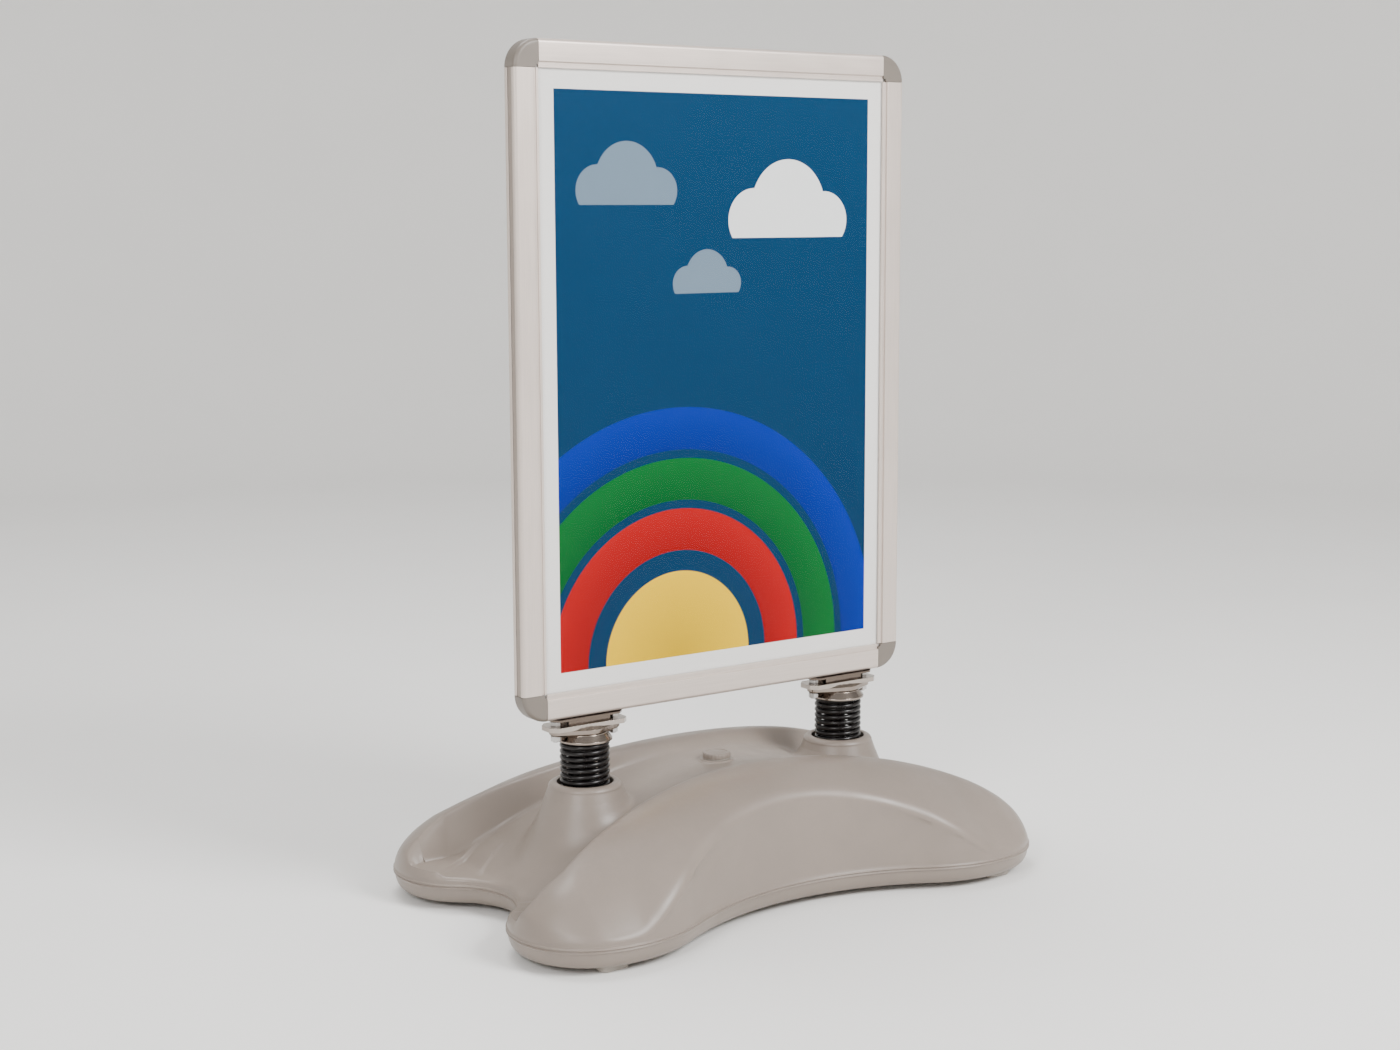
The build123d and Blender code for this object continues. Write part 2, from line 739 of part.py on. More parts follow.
def draw_lid_shell(side):
    """Lip, groove, flat face and rounded shoulder of a lid, closed along the inside."""
    inner_radius = hinge_radius - lid_wall
    mid_angle = (90 - lid_tail_angle) / 2
    shoulder = [flip(polar(hinge_u, hinge_w, hinge_radius, a), side) for a in (90, mid_angle, -lid_tail_angle)]
    tail = [flip(polar(hinge_u, hinge_w, inner_radius, a), side) for a in (-lid_tail_angle, mid_angle, 90)]
    rib_w = groove_w + lid_rib_rise
    outside = [(0, lip_w), (0, rib_w), (lid_lip, rib_w), (lid_lip, groove_w), (face_u, groove_w),
               (face_u, half_depth - lid_edge_break), (face_u + lid_edge_break, half_depth)]
    inside = [(face_u + lid_wall, lid_inner_w), (face_u + lid_wall, lip_w), (0, lip_w)]
    Polyline(*[flip(point, side) for point in outside], shoulder[0])
    ThreePointArc(*shoulder)
    Line(shoulder[-1], tail[0])
    ThreePointArc(*tail)
    Polyline(tail[-1], *[flip(point, side) for point in inside])


def draw_hook(side):
    """Open ring of a lid that turns on the rail's bead."""
    inner_radius = bead_radius + hook_clearance
    mid_angle = (hook_start_angle + hook_end_angle) / 2
    angles = (hook_start_angle, mid_angle, hook_end_angle)
    inner = [flip(polar(hinge_u, hinge_w, inner_radius, a), side) for a in angles]
    outer = [flip(polar(hinge_u, hinge_w, inner_radius + hook_wall, a), side) for a in reversed(angles)]
    ThreePointArc(*inner)
    Line(inner[-1], outer[0])
    ThreePointArc(*outer)
    Line(outer[-1], inner[0])


for name, (origin, outward, length) in rails.items():
    with BuildPart() as rail:
        with BuildSketch(rail_plane(origin, outward)):
            block(fence_u, box_end_u, -box_half, box_half)
            block(tube_start_u, tube_end_u, -tube_half, tube_half, mode=Mode.SUBTRACT)
            block(box_end_u - rail_wall / 2, band_u, -band_half, band_half)
            with Locations((hinge_u, hinge_w), (hinge_u, -hinge_w)):
                Circle(pocket_radius, mode=Mode.SUBTRACT)
            for side in (-1, 1):
                block(ledge_inset, tube_start_u, side * (board_face - rail_wall), side * board_face)
                block(fence_u, tube_start_u, side * board_face, side * (cover_top + fence_rise))
                block(box_end_u - rail_wall / 2, hinge_u, side * (hinge_w - neck_thickness / 2),
                      side * (hinge_w + neck_thickness / 2))
            with Locations((hinge_u, hinge_w), (hinge_u, -hinge_w)):
                Circle(bead_radius)
        extrude(amount=length)
        if name == "bottom":
            with BuildSketch(Plane.XY.offset(band_z)):
                with Locations(*both_screw_spots):
                    Circle(saddle_screw_radius + hole_clearance)
            extrude(amount=nut_bar_base_z - band_z, mode=Mode.SUBTRACT)
    save(rail, f"rail_{name}")

    for face, side in (("front", -1), ("back", 1)):
        with BuildPart() as lid:
            with BuildSketch(rail_plane(origin, outward, lid_end_clearance)):
                with BuildLine():
                    draw_lid_shell(side)
                make_face()
                with BuildLine():
                    draw_hook(side)
                make_face()
                block(hinge_u - hook_wall / 2, hinge_u + hook_wall / 2,
                      side * (hinge_w + bead_radius + hook_wall), side * (lid_inner_w + lid_wall / 2))
            extrude(amount=length - 2 * lid_end_clearance)
        save(lid, f"lid_{face}_{name}")

for face, side in (("front", -1), ("back", 1)):
    with BuildPart() as lid_springs:
        for origin, outward, length in rails.values():
            for start in (lid_spring_inset, length - lid_spring_inset - lid_spring_length):
                with BuildSketch(rail_plane(origin, outward, start)):
                    with BuildLine():
                        crown = lid_inner_w - lid_spring_gap
                        middle = (tube_start_u + tube_end_u) / 2
                        feet = [(tube_start_u, side * box_half), (tube_end_u, side * box_half)]
                        inner_feet = [(tube_start_u + lid_spring_thickness, side * box_half),
                                      (tube_end_u - lid_spring_thickness, side * box_half)]
                        ThreePointArc(feet[0], (middle, side * crown), feet[1])
                        Line(feet[1], inner_feet[1])
                        ThreePointArc(inner_feet[1], (middle, side * (crown - lid_spring_thickness)), inner_feet[0])
                        Line(inner_feet[0], feet[0])
                    make_face()
                extrude(amount=lid_spring_length)
    save(lid_springs, f"lid_springs_{face}")


# Corner caps, and the braces inside them


def corner_block(corner, u_range, v_range, w_range, mode=Mode.ADD):
    """A box at a corner, u sideways and v up or down away from the window, w from front to back."""
    sign_x, sign_z, corner_z = corner
    centre = (sign_x * (window_half + sum(u_range) / 2), sum(w_range) / 2, corner_z + sign_z * sum(v_range) / 2)
    with Locations(centre):
        Box(u_range[1] - u_range[0], w_range[1] - w_range[0], v_range[1] - v_range[0], mode=mode)


corners = {
    "bottom_left": (-1, -1, window_base_z),
    "bottom_right": (1, -1, window_base_z),
    "top_right": (1, 1, window_top_z),
    "top_left": (-1, 1, window_top_z),
}

for name, corner in corners.items():
    sign_x, sign_z, corner_z = corner
    corner_point = (sign_x * window_half, 0, corner_z)
    with BuildPart() as corner_cap:
        with BuildSketch(Plane(origin=corner_point, x_dir=(sign_x, 0, 0), z_dir=(0, 0, sign_x))) as cap_section:
            block(0, rail_width, -half_depth, half_depth)
            fillet(cap_section.vertices().group_by(Axis.X)[-1], hinge_radius)
        revolve(axis=Axis(corner_point, (0, -sign_x * sign_z, 0)), revolution_arc=90)
        for side in (-1, 1):
            sheet_depth = sorted((side * board_face, side * lip_w))
            corner_block(corner, (0, fence_u), (0, fence_u), sheet_depth, Mode.SUBTRACT)
            notch_depth = sorted((side * board_face, side * half_depth))
            corner_block(corner, (0, corner_notch), (0, corner_notch), notch_depth, Mode.SUBTRACT)
        tube_depth = (-tube_half, tube_half)
        corner_block(corner, (tube_start_u, tube_end_u), (0, tube_end_u), tube_depth, Mode.SUBTRACT)
        corner_block(corner, (0, tube_end_u), (tube_start_u, tube_end_u), tube_depth, Mode.SUBTRACT)
    save(corner_cap, f"corner_cap_{name}")

with BuildPart() as corner_braces:
    brace_depth = (brace_clearance - tube_half, tube_half - brace_clearance)
    brace_width = (tube_start_u + brace_clearance, tube_end_u - brace_clearance)
    brace_reach = (-brace_arm, tube_end_u - brace_clearance)
    for corner in corners.values():
        corner_block(corner, brace_width, brace_reach, brace_depth)
        corner_block(corner, brace_reach, brace_width, brace_depth)
save(corner_braces, "corner_braces")


# Backing boards, posters and clear covers
sheet_mid_z = window_base_z + window_height / 2

for face, side in (("front", -1), ("back", 1)):
    sheets = (
        ("backing", board_face, board_thickness),
        ("poster", board_top, poster_thickness),
        ("cover", poster_top, cover_thickness),
    )
    for name, start_w, thickness in sheets:
        with BuildPart() as sheet:
            with Locations((0, side * (start_w + thickness / 2), sheet_mid_z)):
                Box(poster_width, thickness, poster_height)
        save(sheet, f"{name}_{face}")
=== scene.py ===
"""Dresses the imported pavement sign: moulded tank, coil springs, clamps, snap frame and posters.

Lengths are in millimetres where no unit is named. The sign is alike left and right and front and back, so the
tank is worked out for the quarter where x and y are above 0, and mirrored.
"""
import json
from math import cos, pi, radians, sin

import bmesh
import bpy
import numpy as np
from mathutils import Matrix, Vector

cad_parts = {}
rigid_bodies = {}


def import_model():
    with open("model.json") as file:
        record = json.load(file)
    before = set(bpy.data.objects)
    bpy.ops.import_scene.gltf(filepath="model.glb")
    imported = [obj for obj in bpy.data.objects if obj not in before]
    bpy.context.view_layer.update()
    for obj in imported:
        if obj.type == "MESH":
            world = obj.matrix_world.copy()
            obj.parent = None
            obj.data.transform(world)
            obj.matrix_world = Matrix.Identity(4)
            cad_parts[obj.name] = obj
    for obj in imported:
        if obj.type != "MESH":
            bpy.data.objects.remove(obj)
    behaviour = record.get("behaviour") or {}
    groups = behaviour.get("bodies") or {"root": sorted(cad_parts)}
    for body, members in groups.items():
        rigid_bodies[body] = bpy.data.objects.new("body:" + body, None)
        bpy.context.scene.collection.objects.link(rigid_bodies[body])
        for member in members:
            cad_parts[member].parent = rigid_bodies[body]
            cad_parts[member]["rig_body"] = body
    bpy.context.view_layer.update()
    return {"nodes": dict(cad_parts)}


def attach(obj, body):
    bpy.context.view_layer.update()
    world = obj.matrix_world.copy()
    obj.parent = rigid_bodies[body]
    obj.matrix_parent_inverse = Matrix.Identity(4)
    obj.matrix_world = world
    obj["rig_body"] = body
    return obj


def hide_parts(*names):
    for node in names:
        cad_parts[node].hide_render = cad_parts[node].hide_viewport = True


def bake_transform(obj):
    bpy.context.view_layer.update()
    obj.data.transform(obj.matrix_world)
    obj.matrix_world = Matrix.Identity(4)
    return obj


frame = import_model()

MM = 0.001  # a millimetre in Blender's metres
SPRING_X = 221.0  # each spring's axis from the middle
SIDES = (("left", -SPRING_X), ("right", SPRING_X))


# Meshes


def new_piece(name, points, faces, body=None, nodes=(), slot=None, smooth=True):
    """A mesh object in metres from points in millimetres. Where these are given, it rides on the body and stands
    for the CAD nodes. The slot is not used."""
    mesh = bpy.data.meshes.new(name)
    mesh.from_pydata((np.asarray(points) * MM).tolist(), [], faces)
    mesh.validate()
    mesh.shade_smooth() if smooth else mesh.shade_flat()
    piece = bpy.data.objects.new(name, mesh)
    bpy.context.scene.collection.objects.link(piece)
    if body:
        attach(piece, body)
    if nodes:
        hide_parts(*nodes)
    return piece


def ring_faces(rings, around, flip=False):
    """Quads between closed rings of points stored one after another: point n of ring r has the number
    r times around plus n, and each quad joins it to its neighbours in both directions."""
    here = np.arange(around)
    beside = (here + 1) % around
    low = around * np.arange(rings - 1)[:, None]
    high = low + around
    quads = np.stack([low + here, low + beside, high + beside, high + here], axis=-1).reshape(-1, 4)
    return (quads[:, ::-1] if flip else quads).tolist()


def revolve(profile, x=0.0, steps=96):
    """Points and faces of a profile of (radius, z) turned round the upright axis at x: the radius times the
    cosine and the sine of the turn, with z unchanged."""
    turn = np.linspace(0, 2 * pi, steps, endpoint=False)
    radius, z = np.array(profile)[:, :, None].swapaxes(0, 1)
    points = np.stack([x + radius * np.cos(turn), radius * np.sin(turn), z + 0 * turn], axis=-1)
    return points.reshape(-1, 3), ring_faces(len(profile), steps, flip=True)


def arc_points(centre_r, centre_z, radius, start, end, count):
    """Points (radius, z) of a profile along an arc, from one angle to another in degrees: the centre plus the
    radius times the angle's cosine and sine."""
    angle = np.radians(np.linspace(start, end, count))
    return np.stack([centre_r + radius * np.cos(angle), centre_z + radius * np.sin(angle)], axis=1).tolist()


def face_outwards(mesh):
    """Turn the faces of a closed mesh outwards."""
    work = bmesh.new()
    work.from_mesh(mesh)
    bmesh.ops.recalc_face_normals(work, faces=work.faces)
    work.to_mesh(mesh)
    work.free()


def sharpen(piece, degrees):
    """Keep the edges sharp that bend by more than an angle, so that flats stay flat and rounds smooth."""
    piece.data.set_sharp_from_angle(angle=radians(degrees))


MERGE_METRES = 2e-6  # CAD points nearer than this are one
FLAT_DEGREES = 1.0  # faces that bend by less than this are one
EDGE_DEGREES = 28.0  # edges that bend by more than this are broken


def dressed(node, width, segments=2):
    """A copy of a CAD node, merged into clean faces, with its edges broken by a bevel of this width."""
    source = frame["nodes"][node]
    mesh = source.data.copy()
    mesh.name = node + "_dressed"
    work = bmesh.new()
    work.from_mesh(mesh)
    bmesh.ops.remove_doubles(work, verts=work.verts, dist=MERGE_METRES)
    bmesh.ops.dissolve_limit(work, angle_limit=radians(FLAT_DEGREES), verts=work.verts, edges=work.edges,
                             delimit={"NORMAL"})
    bmesh.ops.recalc_face_normals(work, faces=work.faces)
    work.to_mesh(mesh)
    work.free()
    mesh.materials.clear()
    mesh.shade_smooth()
    piece = bpy.data.objects.new(node + "_dressed", mesh)
    bpy.context.scene.collection.objects.link(piece)
    sharpen(piece, EDGE_DEGREES)
    bevel = piece.modifiers.new("edge", "BEVEL")
    bevel.width = width * MM
    bevel.segments = segments
    bevel.limit_method = "ANGLE"
    bevel.angle_limit = radians(EDGE_DEGREES)
    bevel.use_clamp_overlap = True
    bevel.harden_normals = True
    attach(piece, source["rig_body"])
    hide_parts(node)
    return piece


# Finishes. Noise scales are per metre, and bump depths are in metres.


class Finish:
    """The shader nodes of one finish, added and wired a call at a time."""

    def __init__(self, name):
        self.material = bpy.data.materials.new(name)
        self.material.use_nodes = True
        self.tree = self.material.node_tree
        self.shader = next(n for n in self.tree.nodes if n.type == "BSDF_PRINCIPLED")
        self.place = self.add("ShaderNodeTexCoord").outputs["Object"]

    def add(self, kind, inputs=None, **settings):
        """A new node with its settings made and its inputs filled."""
        node = self.tree.nodes.new(kind)
        for key, value in settings.items():
            setattr(node, key, value)
        for key, value in (inputs or {}).items():
            self.fill(node.inputs[key], value)
        return node

    def fill(self, socket, value):
        """Wire a socket to another one, or set its constant."""
        if isinstance(value, bpy.types.NodeSocket):
            self.tree.links.new(value, socket)
        else:
            socket.default_value = value

    def math(self, operation, a, b=0.0):
        """One sum of two values, such as MULTIPLY."""
        return self.add("ShaderNodeMath", {0: a, 1: b}, operation=operation).outputs[0]

    def noise(self, scale, detail=3.0, stretch=None, roughness=0.5):
        """Cloudy noise over the object's own coordinates, drawn out along the axes with a small stretch."""
        place = self.place
        if stretch:
            place = self.add("ShaderNodeVectorMath", {0: place, 1: stretch}, operation="MULTIPLY").outputs[0]
        return self.add("ShaderNodeTexNoise", {"Vector": place, "Scale": scale, "Detail": detail,
                                               "Roughness": roughness}).outputs["Fac"]

    def span(self, value, low, high, start=0.0, end=1.0):
        """A value mapped from start..end to low..high and held there."""
        return self.add("ShaderNodeMapRange", {"Value": value, "From Min": start, "From Max": end,
                                               "To Min": low, "To Max": high}).outputs["Result"]

    def mix(self, share, first, second):
        """The first colour with a share of the second."""
        return self.add("ShaderNodeMix", {0: share, 6: first, 7: second}, data_type="RGBA").outputs[2]

    def bump(self, height, depth):
        """A surface direction from a height between 0 and 1 and its depth."""
        return self.add("ShaderNodeBump", {"Height": height, "Distance": depth}).outputs["Normal"]

    def done(self, **inputs):
        """The finished material, with the shader's inputs filled. Spaces in their names are underscores here."""
        for key, value in inputs.items():
            self.fill(self.shader.inputs[key.replace("_", " ")], value)
        return self.material


def rgb(red, green, blue):
    """A linear colour from the 0 to 255 values seen on a screen, by the sRGB curve: a straight line near black,
    and above it the power 2.4 of a shifted value."""
    seen = [c / 255 for c in (red, green, blue)]
    return (*(c / 12.92 if c <= 0.04045 else ((c + 0.055) / 1.055) ** 2.4 for c in seen), 1.0)


def shade(colour, factor):
    """The colour made lighter or darker by a factor."""
    return (*(c * factor for c in colour[:3]), 1.0)


def moulded_plastic(name, colour, roughness, grain=1600.0, grain_depth=0.00006, dust=0.0):
    """Satin moulded plastic: slow mottling, fine grain, a little polish, and dust where it faces upwards."""
    finish = Finish(name)
    slow, cloudy = finish.noise(7.0, 4.0), finish.noise(42.0, 3.0)
    base = finish.mix(finish.span(slow, 0.0, 1.0, 0.35, 0.65), shade(colour, 0.955), shade(colour, 1.04))
    base = finish.mix(finish.span(cloudy, 0.0, 0.35, 0.4, 0.75), base, shade(colour, 0.93))
    if dust:
        facing = finish.add("ShaderNodeNewGeometry").outputs["Normal"]
        up = finish.add("ShaderNodeSeparateXYZ", {0: facing}).outputs[2]
        speck = finish.noise(160.0, 5.0, roughness=0.7)
        settled = finish.math("MULTIPLY", finish.span(up, 0.0, 1.0, 0.55, 1.0),
                              finish.span(speck, 0.0, dust, 0.45, 0.8))
        base = finish.mix(settled, base, shade(colour, 1.22))
    rough = finish.span(finish.noise(24.0, 4.0), roughness - 0.06, roughness + 0.08, 0.3, 0.7)
    coarse = finish.span(finish.noise(grain * 0.22, 2.0), 0.0, 0.8)
    height = finish.math("ADD", finish.noise(grain, 2.0), coarse)
    return finish.done(Base_Color=base, Roughness=rough, Normal=finish.bump(height, grain_depth),
                       Specular_IOR_Level=0.45)


def lined_metal(name, colour, roughness, stretch, line_scale=900.0, depth=0.00002, metallic=1.0, spread=0.08):
    """Metal with fine lines along one direction, cloudy roughness and small marks."""
    finish = Finish(name)
    lines = finish.noise(line_scale, 3.0, stretch=stretch)
    cloud = finish.noise(18.0, 3.0)
    marks = finish.noise(240.0, 4.0, roughness=0.75)
    base = finish.mix(finish.span(lines, 0.0, 1.0, 0.3, 0.7), shade(colour, 0.94), shade(colour, 1.03))
    base = finish.mix(finish.span(marks, 0.0, 0.25, 0.62, 0.8), base, shade(colour, 0.8))
    rough = finish.math("ADD", finish.span(cloud, roughness - spread / 2, roughness + spread / 2, 0.3, 0.7),
                        finish.span(lines, -spread / 3, spread / 3, 0.3, 0.7))
    return finish.done(Base_Color=base, Metallic=metallic, Roughness=rough, Normal=finish.bump(lines, depth))


def spring_enamel():
    """Gloss black enamel on steel: slight orange peel, thin brown wear and a clear coat."""
    finish = Finish("spring_steel")
    wear = finish.noise(140.0, 5.0, roughness=0.7)
    base = finish.mix(finish.span(wear, 0.0, 0.7, 0.66, 0.85), rgb(12, 8, 8), rgb(38, 27, 24))
    rough = finish.span(finish.noise(60.0, 3.0), 0.24, 0.36, 0.3, 0.7)
    peel = finish.bump(finish.noise(420.0, 2.0), 0.00005)
    return finish.done(Base_Color=base, Roughness=rough, Normal=peel, Coat_Weight=0.12, Coat_Roughness=0.1,
                       Specular_IOR_Level=0.32)


def clear_sheet():
    """Clear low-glare cover sheet: nearly see-through, with a soft sheen and faint scuffs."""
    finish = Finish("clear_sheet")
    scuffs = finish.noise(90.0, 4.0, stretch=(0.2, 1.0, 1.0), roughness=0.7)
    tint = finish.mix(finish.span(scuffs, 0.0, 1.0, 0.4, 0.8), rgb(30, 32, 34), rgb(44, 45, 46))
    return finish.done(Base_Color=tint, Roughness=finish.span(scuffs, 0.2, 0.34, 0.3, 0.75), Alpha=0.05,
                       IOR=1.45)


# Poster: places from its middle, x to the reader's right and z up
POSTER_Z = 717.5
FIELD_HALF_X, FIELD_HALF_Z = 262.5, 385.0
FIELD_LOW, FIELD_HIGH = rgb(0, 46, 80), rgb(0, 54, 90)
FAINT_CLOUDS = ((-150.0, 255.0, 62.0), (-20.0, 130.0, 44.0))  # x, z and size
WHITE_CLOUD = (120.0, 215.0, 80.0)
ARCH_PLACE = (-70.0, -385.0)
ARCHES = ((318.0, 58.0, rgb(0, 36, 142)), (248.0, 58.0, rgb(0, 94, 36)),
          (178.0, 58.0, rgb(164, 4, 10)), (60.0, 120.0, rgb(228, 184, 0)))  # radius, width and colour
PRINT_EDGE = 0.15


def poster_print(name, side):
    """A printed sheet: a blue field in a white border, with coloured arches and clouds, and paper grain. Each
    form is where a distance worked out at every point, such as that from a middle less a radius, is below 0."""
    finish = Finish(name)
    place = finish.add("ShaderNodeSeparateXYZ", {0: finish.place}).outputs
    x = finish.math("MULTIPLY", place[0], -side / MM)
    z = finish.add("ShaderNodeMath", {0: place[2], 1: 1 / MM, 2: -POSTER_Z},
                   operation="MULTIPLY_ADD").outputs[0]

    def inside(distance):
        """1 where the distance is below 0, with a fine soft edge."""
        return finish.span(distance, 1.0, 0.0, -PRINT_EDGE, PRINT_EDGE)

    def disc(cx, cz, radius):
        """Distance from a circle: the root of the squares' sum, less the radius."""
        dx, dz = finish.math("SUBTRACT", x, cx), finish.math("SUBTRACT", z, cz)
        squares = finish.math("ADD", finish.math("MULTIPLY", dx, dx), finish.math("MULTIPLY", dz, dz))
        return finish.math("SUBTRACT", finish.math("SQRT", squares), radius)

    def cloud(cx, cz, size):
        """Three discs of 0.55, 0.8 and 0.5 of the size, cut off level 0.3 of the size below the middle."""
        discs = [disc(cx - 0.75 * size, cz, 0.55 * size), disc(cx, cz + 0.25 * size, 0.8 * size),
                 disc(cx + 0.8 * size, cz, 0.5 * size)]
        joined = finish.math("MINIMUM", finish.math("MINIMUM", discs[0], discs[1]), discs[2])
        return inside(finish.math("MAXIMUM", joined, finish.math("SUBTRACT", cz - 0.3 * size, z)))

    field = inside(finish.math(
        "MAXIMUM", finish.math("SUBTRACT", finish.math("ABSOLUTE", x), FIELD_HALF_X),
        finish.math("SUBTRACT", finish.math("ABSOLUTE", z), FIELD_HALF_Z)))
    ink = finish.mix(finish.span(z, 0.0, 1.0, -FIELD_HALF_Z, FIELD_HALF_Z), FIELD_LOW, FIELD_HIGH)
    for spot in FAINT_CLOUDS:
        ink = finish.mix(finish.math("MULTIPLY", cloud(*spot), 0.3), ink, rgb(190, 212, 224))
    ink = finish.mix(cloud(*WHITE_CLOUD), ink, rgb(236, 238, 238))
    away = disc(*ARCH_PLACE, 0.0)
    for radius, width, colour in ARCHES:
        off_middle = finish.math("ABSOLUTE", finish.math("SUBTRACT", away, radius))
        band = inside(finish.math("SUBTRACT", off_middle, width / 2))
        across = finish.span(away, 0.0, 1.0, radius - width / 2, radius + width / 2)
        ink = finish.mix(band, ink, finish.mix(across, shade(colour, 0.78), shade(colour, 1.12)))
    paper = finish.mix(finish.noise(700.0, 2.0), rgb(241, 239, 236), rgb(246, 244, 241))
    return finish.done(Base_Color=finish.mix(field, paper, ink),
                       Roughness=finish.span(finish.noise(260.0, 3.0), 0.5, 0.62, 0.3, 0.7),
                       Normal=finish.bump(finish.noise(900.0, 2.0), 0.000002), Specular_IOR_Level=0.08)


def studio_floor():
    """Plain pale floor with the faintest mottling."""
    finish = Finish("studio_floor")
    base = finish.mix(finish.noise(3.0, 3.0), rgb(238, 237, 235), rgb(242, 241, 239))
    return finish.done(Base_Color=base, Roughness=0.75)


TANK_COLOUR = rgb(132, 121, 112)
LID_COLOUR = rgb(209, 196, 187)
# The rails' carcass is darker than the lids: painted shade for the recessed band it shows between the lids on the
# frame's sides.
CARCASS_COLOUR = rgb(158, 146, 137)
LINES_ALONG_X, LINES_ALONG_Z = (0.02, 1.0, 1.0), (1.0, 1.0, 0.02)

tank_plastic = moulded_plastic("tank_plastic", TANK_COLOUR, 0.36, dust=0.3)
plug_plastic = moulded_plastic("plug_plastic", shade(TANK_COLOUR, 0.97), 0.4)
corner_plastic = moulded_plastic("corner_plastic", rgb(114, 106, 98), 0.34, grain=2600.0,
                                 grain_depth=0.00004)
foot_rubber = moulded_plastic("foot_rubber", rgb(158, 151, 143), 0.66, grain=900.0, grain_depth=0.00012)
board_plastic = moulded_plastic("board_plastic", rgb(236, 235, 232), 0.5, grain=800.0, grain_depth=0.00003)
aluminium_x = lined_metal("frame_aluminium_x", LID_COLOUR, 0.4, LINES_ALONG_X, metallic=0.5)
aluminium_z = lined_metal("frame_aluminium_z", LID_COLOUR, 0.4, LINES_ALONG_Z, metallic=0.5)
# The carcass finishes carry the painted shade of CARCASS_COLOUR.
carcass_x = lined_metal("carcass_aluminium_x", CARCASS_COLOUR, 0.42, LINES_ALONG_X, metallic=0.5)
carcass_z = lined_metal("carcass_aluminium_z", CARCASS_COLOUR, 0.42, LINES_ALONG_Z, metallic=0.5)
zinc_steel = lined_metal("zinc_steel", rgb(196, 194, 192), 0.36, (1.0, 1.0, 0.4), line_scale=500.0,
                         spread=0.14)
# The clamp plates' and cups' colours are darker and browner than plain chrome: a painted reflection of dark
# surroundings.
plate_chrome = lined_metal("plate_chrome", rgb(166, 157, 149), 0.12, (1.0, 0.3, 1.0), line_scale=110.0,
                           depth=0.00035)
cup_chrome = lined_metal("cup_chrome", rgb(142, 131, 122), 0.16, (1.0, 1.0, 0.2), line_scale=120.0,
                         depth=0.0003, spread=0.1)
# The saddle steel is a darker metal of its own, and is darkened and browned further by the same painted
# reflection.
saddle_steel = lined_metal("saddle_steel", rgb(104, 93, 85), 0.22, (0.3, 1.0, 1.0), line_scale=160.0,
                           depth=0.0004, spread=0.12)


def paint(target, material):
    """Give a piece or a CAD node one material."""
    target.data.materials.clear()
    target.data.materials.append(material)


# Tank: plan outline of the quarter in tangent arcs, which are the hollow front, the lobe of a wing, the toe and
# the hollow end. Sizes shared with the CAD source.
FRONT_WAIST_Y, END_WAIST_X = 185.0, 345.0
LOBE_X, LOBE_TOP_Y, LOBE_R = 296.8, 264.6, 188.2
TOE_TURN, TOE_R = radians(14.0), 104.8
LOBE_Y = LOBE_TOP_Y - LOBE_R
TOE_X = LOBE_X + (LOBE_R - TOE_R) * sin(TOE_TURN)
TOE_Y = LOBE_Y + (LOBE_R - TOE_R) * cos(TOE_TURN)
TIP_X = TOE_X + TOE_R
FRONT_RISE = LOBE_TOP_Y - FRONT_WAIST_Y
FRONT_REACH = (LOBE_X**2 + FRONT_RISE**2) / (2 * FRONT_RISE)
FRONT_R = FRONT_REACH - LOBE_R
FRONT_Y = FRONT_WAIST_Y + FRONT_R
END_RUN = END_WAIST_X - TOE_X
END_R = (END_RUN**2 + TOE_Y**2 - TOE_R**2) / (2 * (TOE_R - END_RUN))
END_X = END_WAIST_X + END_R

RIM_Z = 46.0  # lowest height of the top edge
INSET = 26.0  # width in plan of the wall and its rounded edge, outside the inner sheet
SPREAD_X = 355.0  # the crests spread, and the outer edge falls, up to here
BLUNT_X = 375.0  # the crest falls faster from here to the tip
WALL_Z, WALL_DEPTH, WALL_LEAN = 38.9, 0.5, 0.105  # foot of the plain wall, and its lean for each mm of height
TURRET_R = 50.5  # radius at which a turret's skirt starts
FLOOR_DISH = 5.0  # rise of the valley floor from the middle line to the foot of a wing


def root(value):
    """The square root, and 0 below 0."""
    return np.sqrt(np.maximum(value, 0))


def smooth_least(a, b, blend):
    """The smaller of two values, rounded where they are less than blend apart: with the share s of the way from
    b to a, the value b + (a - b) s, less blend times s (1 - s)."""
    share = np.clip(0.5 + 0.5 * (b - a) / blend, 0, 1)
    return b + (a - b) * share - blend * share * (1 - share)


def smooth_greatest(a, b, blend):
    """The larger of two values, rounded in the same way."""
    return -smooth_least(-a, -b, blend)


def step_up(value, width):
    """0 below -width/2 and 1 above width/2, and between them 3 s squared less 2 s cubed of the share s."""
    share = np.clip(value / width + 0.5, 0, 1)
    return share * share * (3 - 2 * share)


def arch(apex, radius, x, blend):
    """Height at x of a circle's arch with its apex over the middle, kept above the rim: half the height over
    the rim, plus half the root of its square and the blend's square."""
    over = apex - radius + np.sqrt(radius**2 - np.minimum(np.abs(x), TIP_X) ** 2) - RIM_Z
    return RIM_Z + (over + np.sqrt(over**2 + blend**2)) / 2


def outer_side(x, inset=0.0):
    """Half width at x of the outline moved in by inset. On each arc it is the y of its middle plus the root of
    the radius squared less the distance along X squared, and minus that root on the hollow front."""
    x = np.minimum(np.abs(x), TIP_X)
    front_r, lobe_r, toe_r = FRONT_R + inset, LOBE_R - inset, TOE_R - inset
    front = FRONT_Y - root(front_r**2 - x**2)
    lobe = LOBE_Y + root(lobe_r**2 - (LOBE_X - x) ** 2)
    toe = TOE_Y + root(toe_r**2 - (x - TOE_X) ** 2)
    return np.where(x < LOBE_X * front_r / FRONT_REACH, front,
                    np.where(x < LOBE_X + lobe_r * sin(TOE_TURN), lobe, toe))


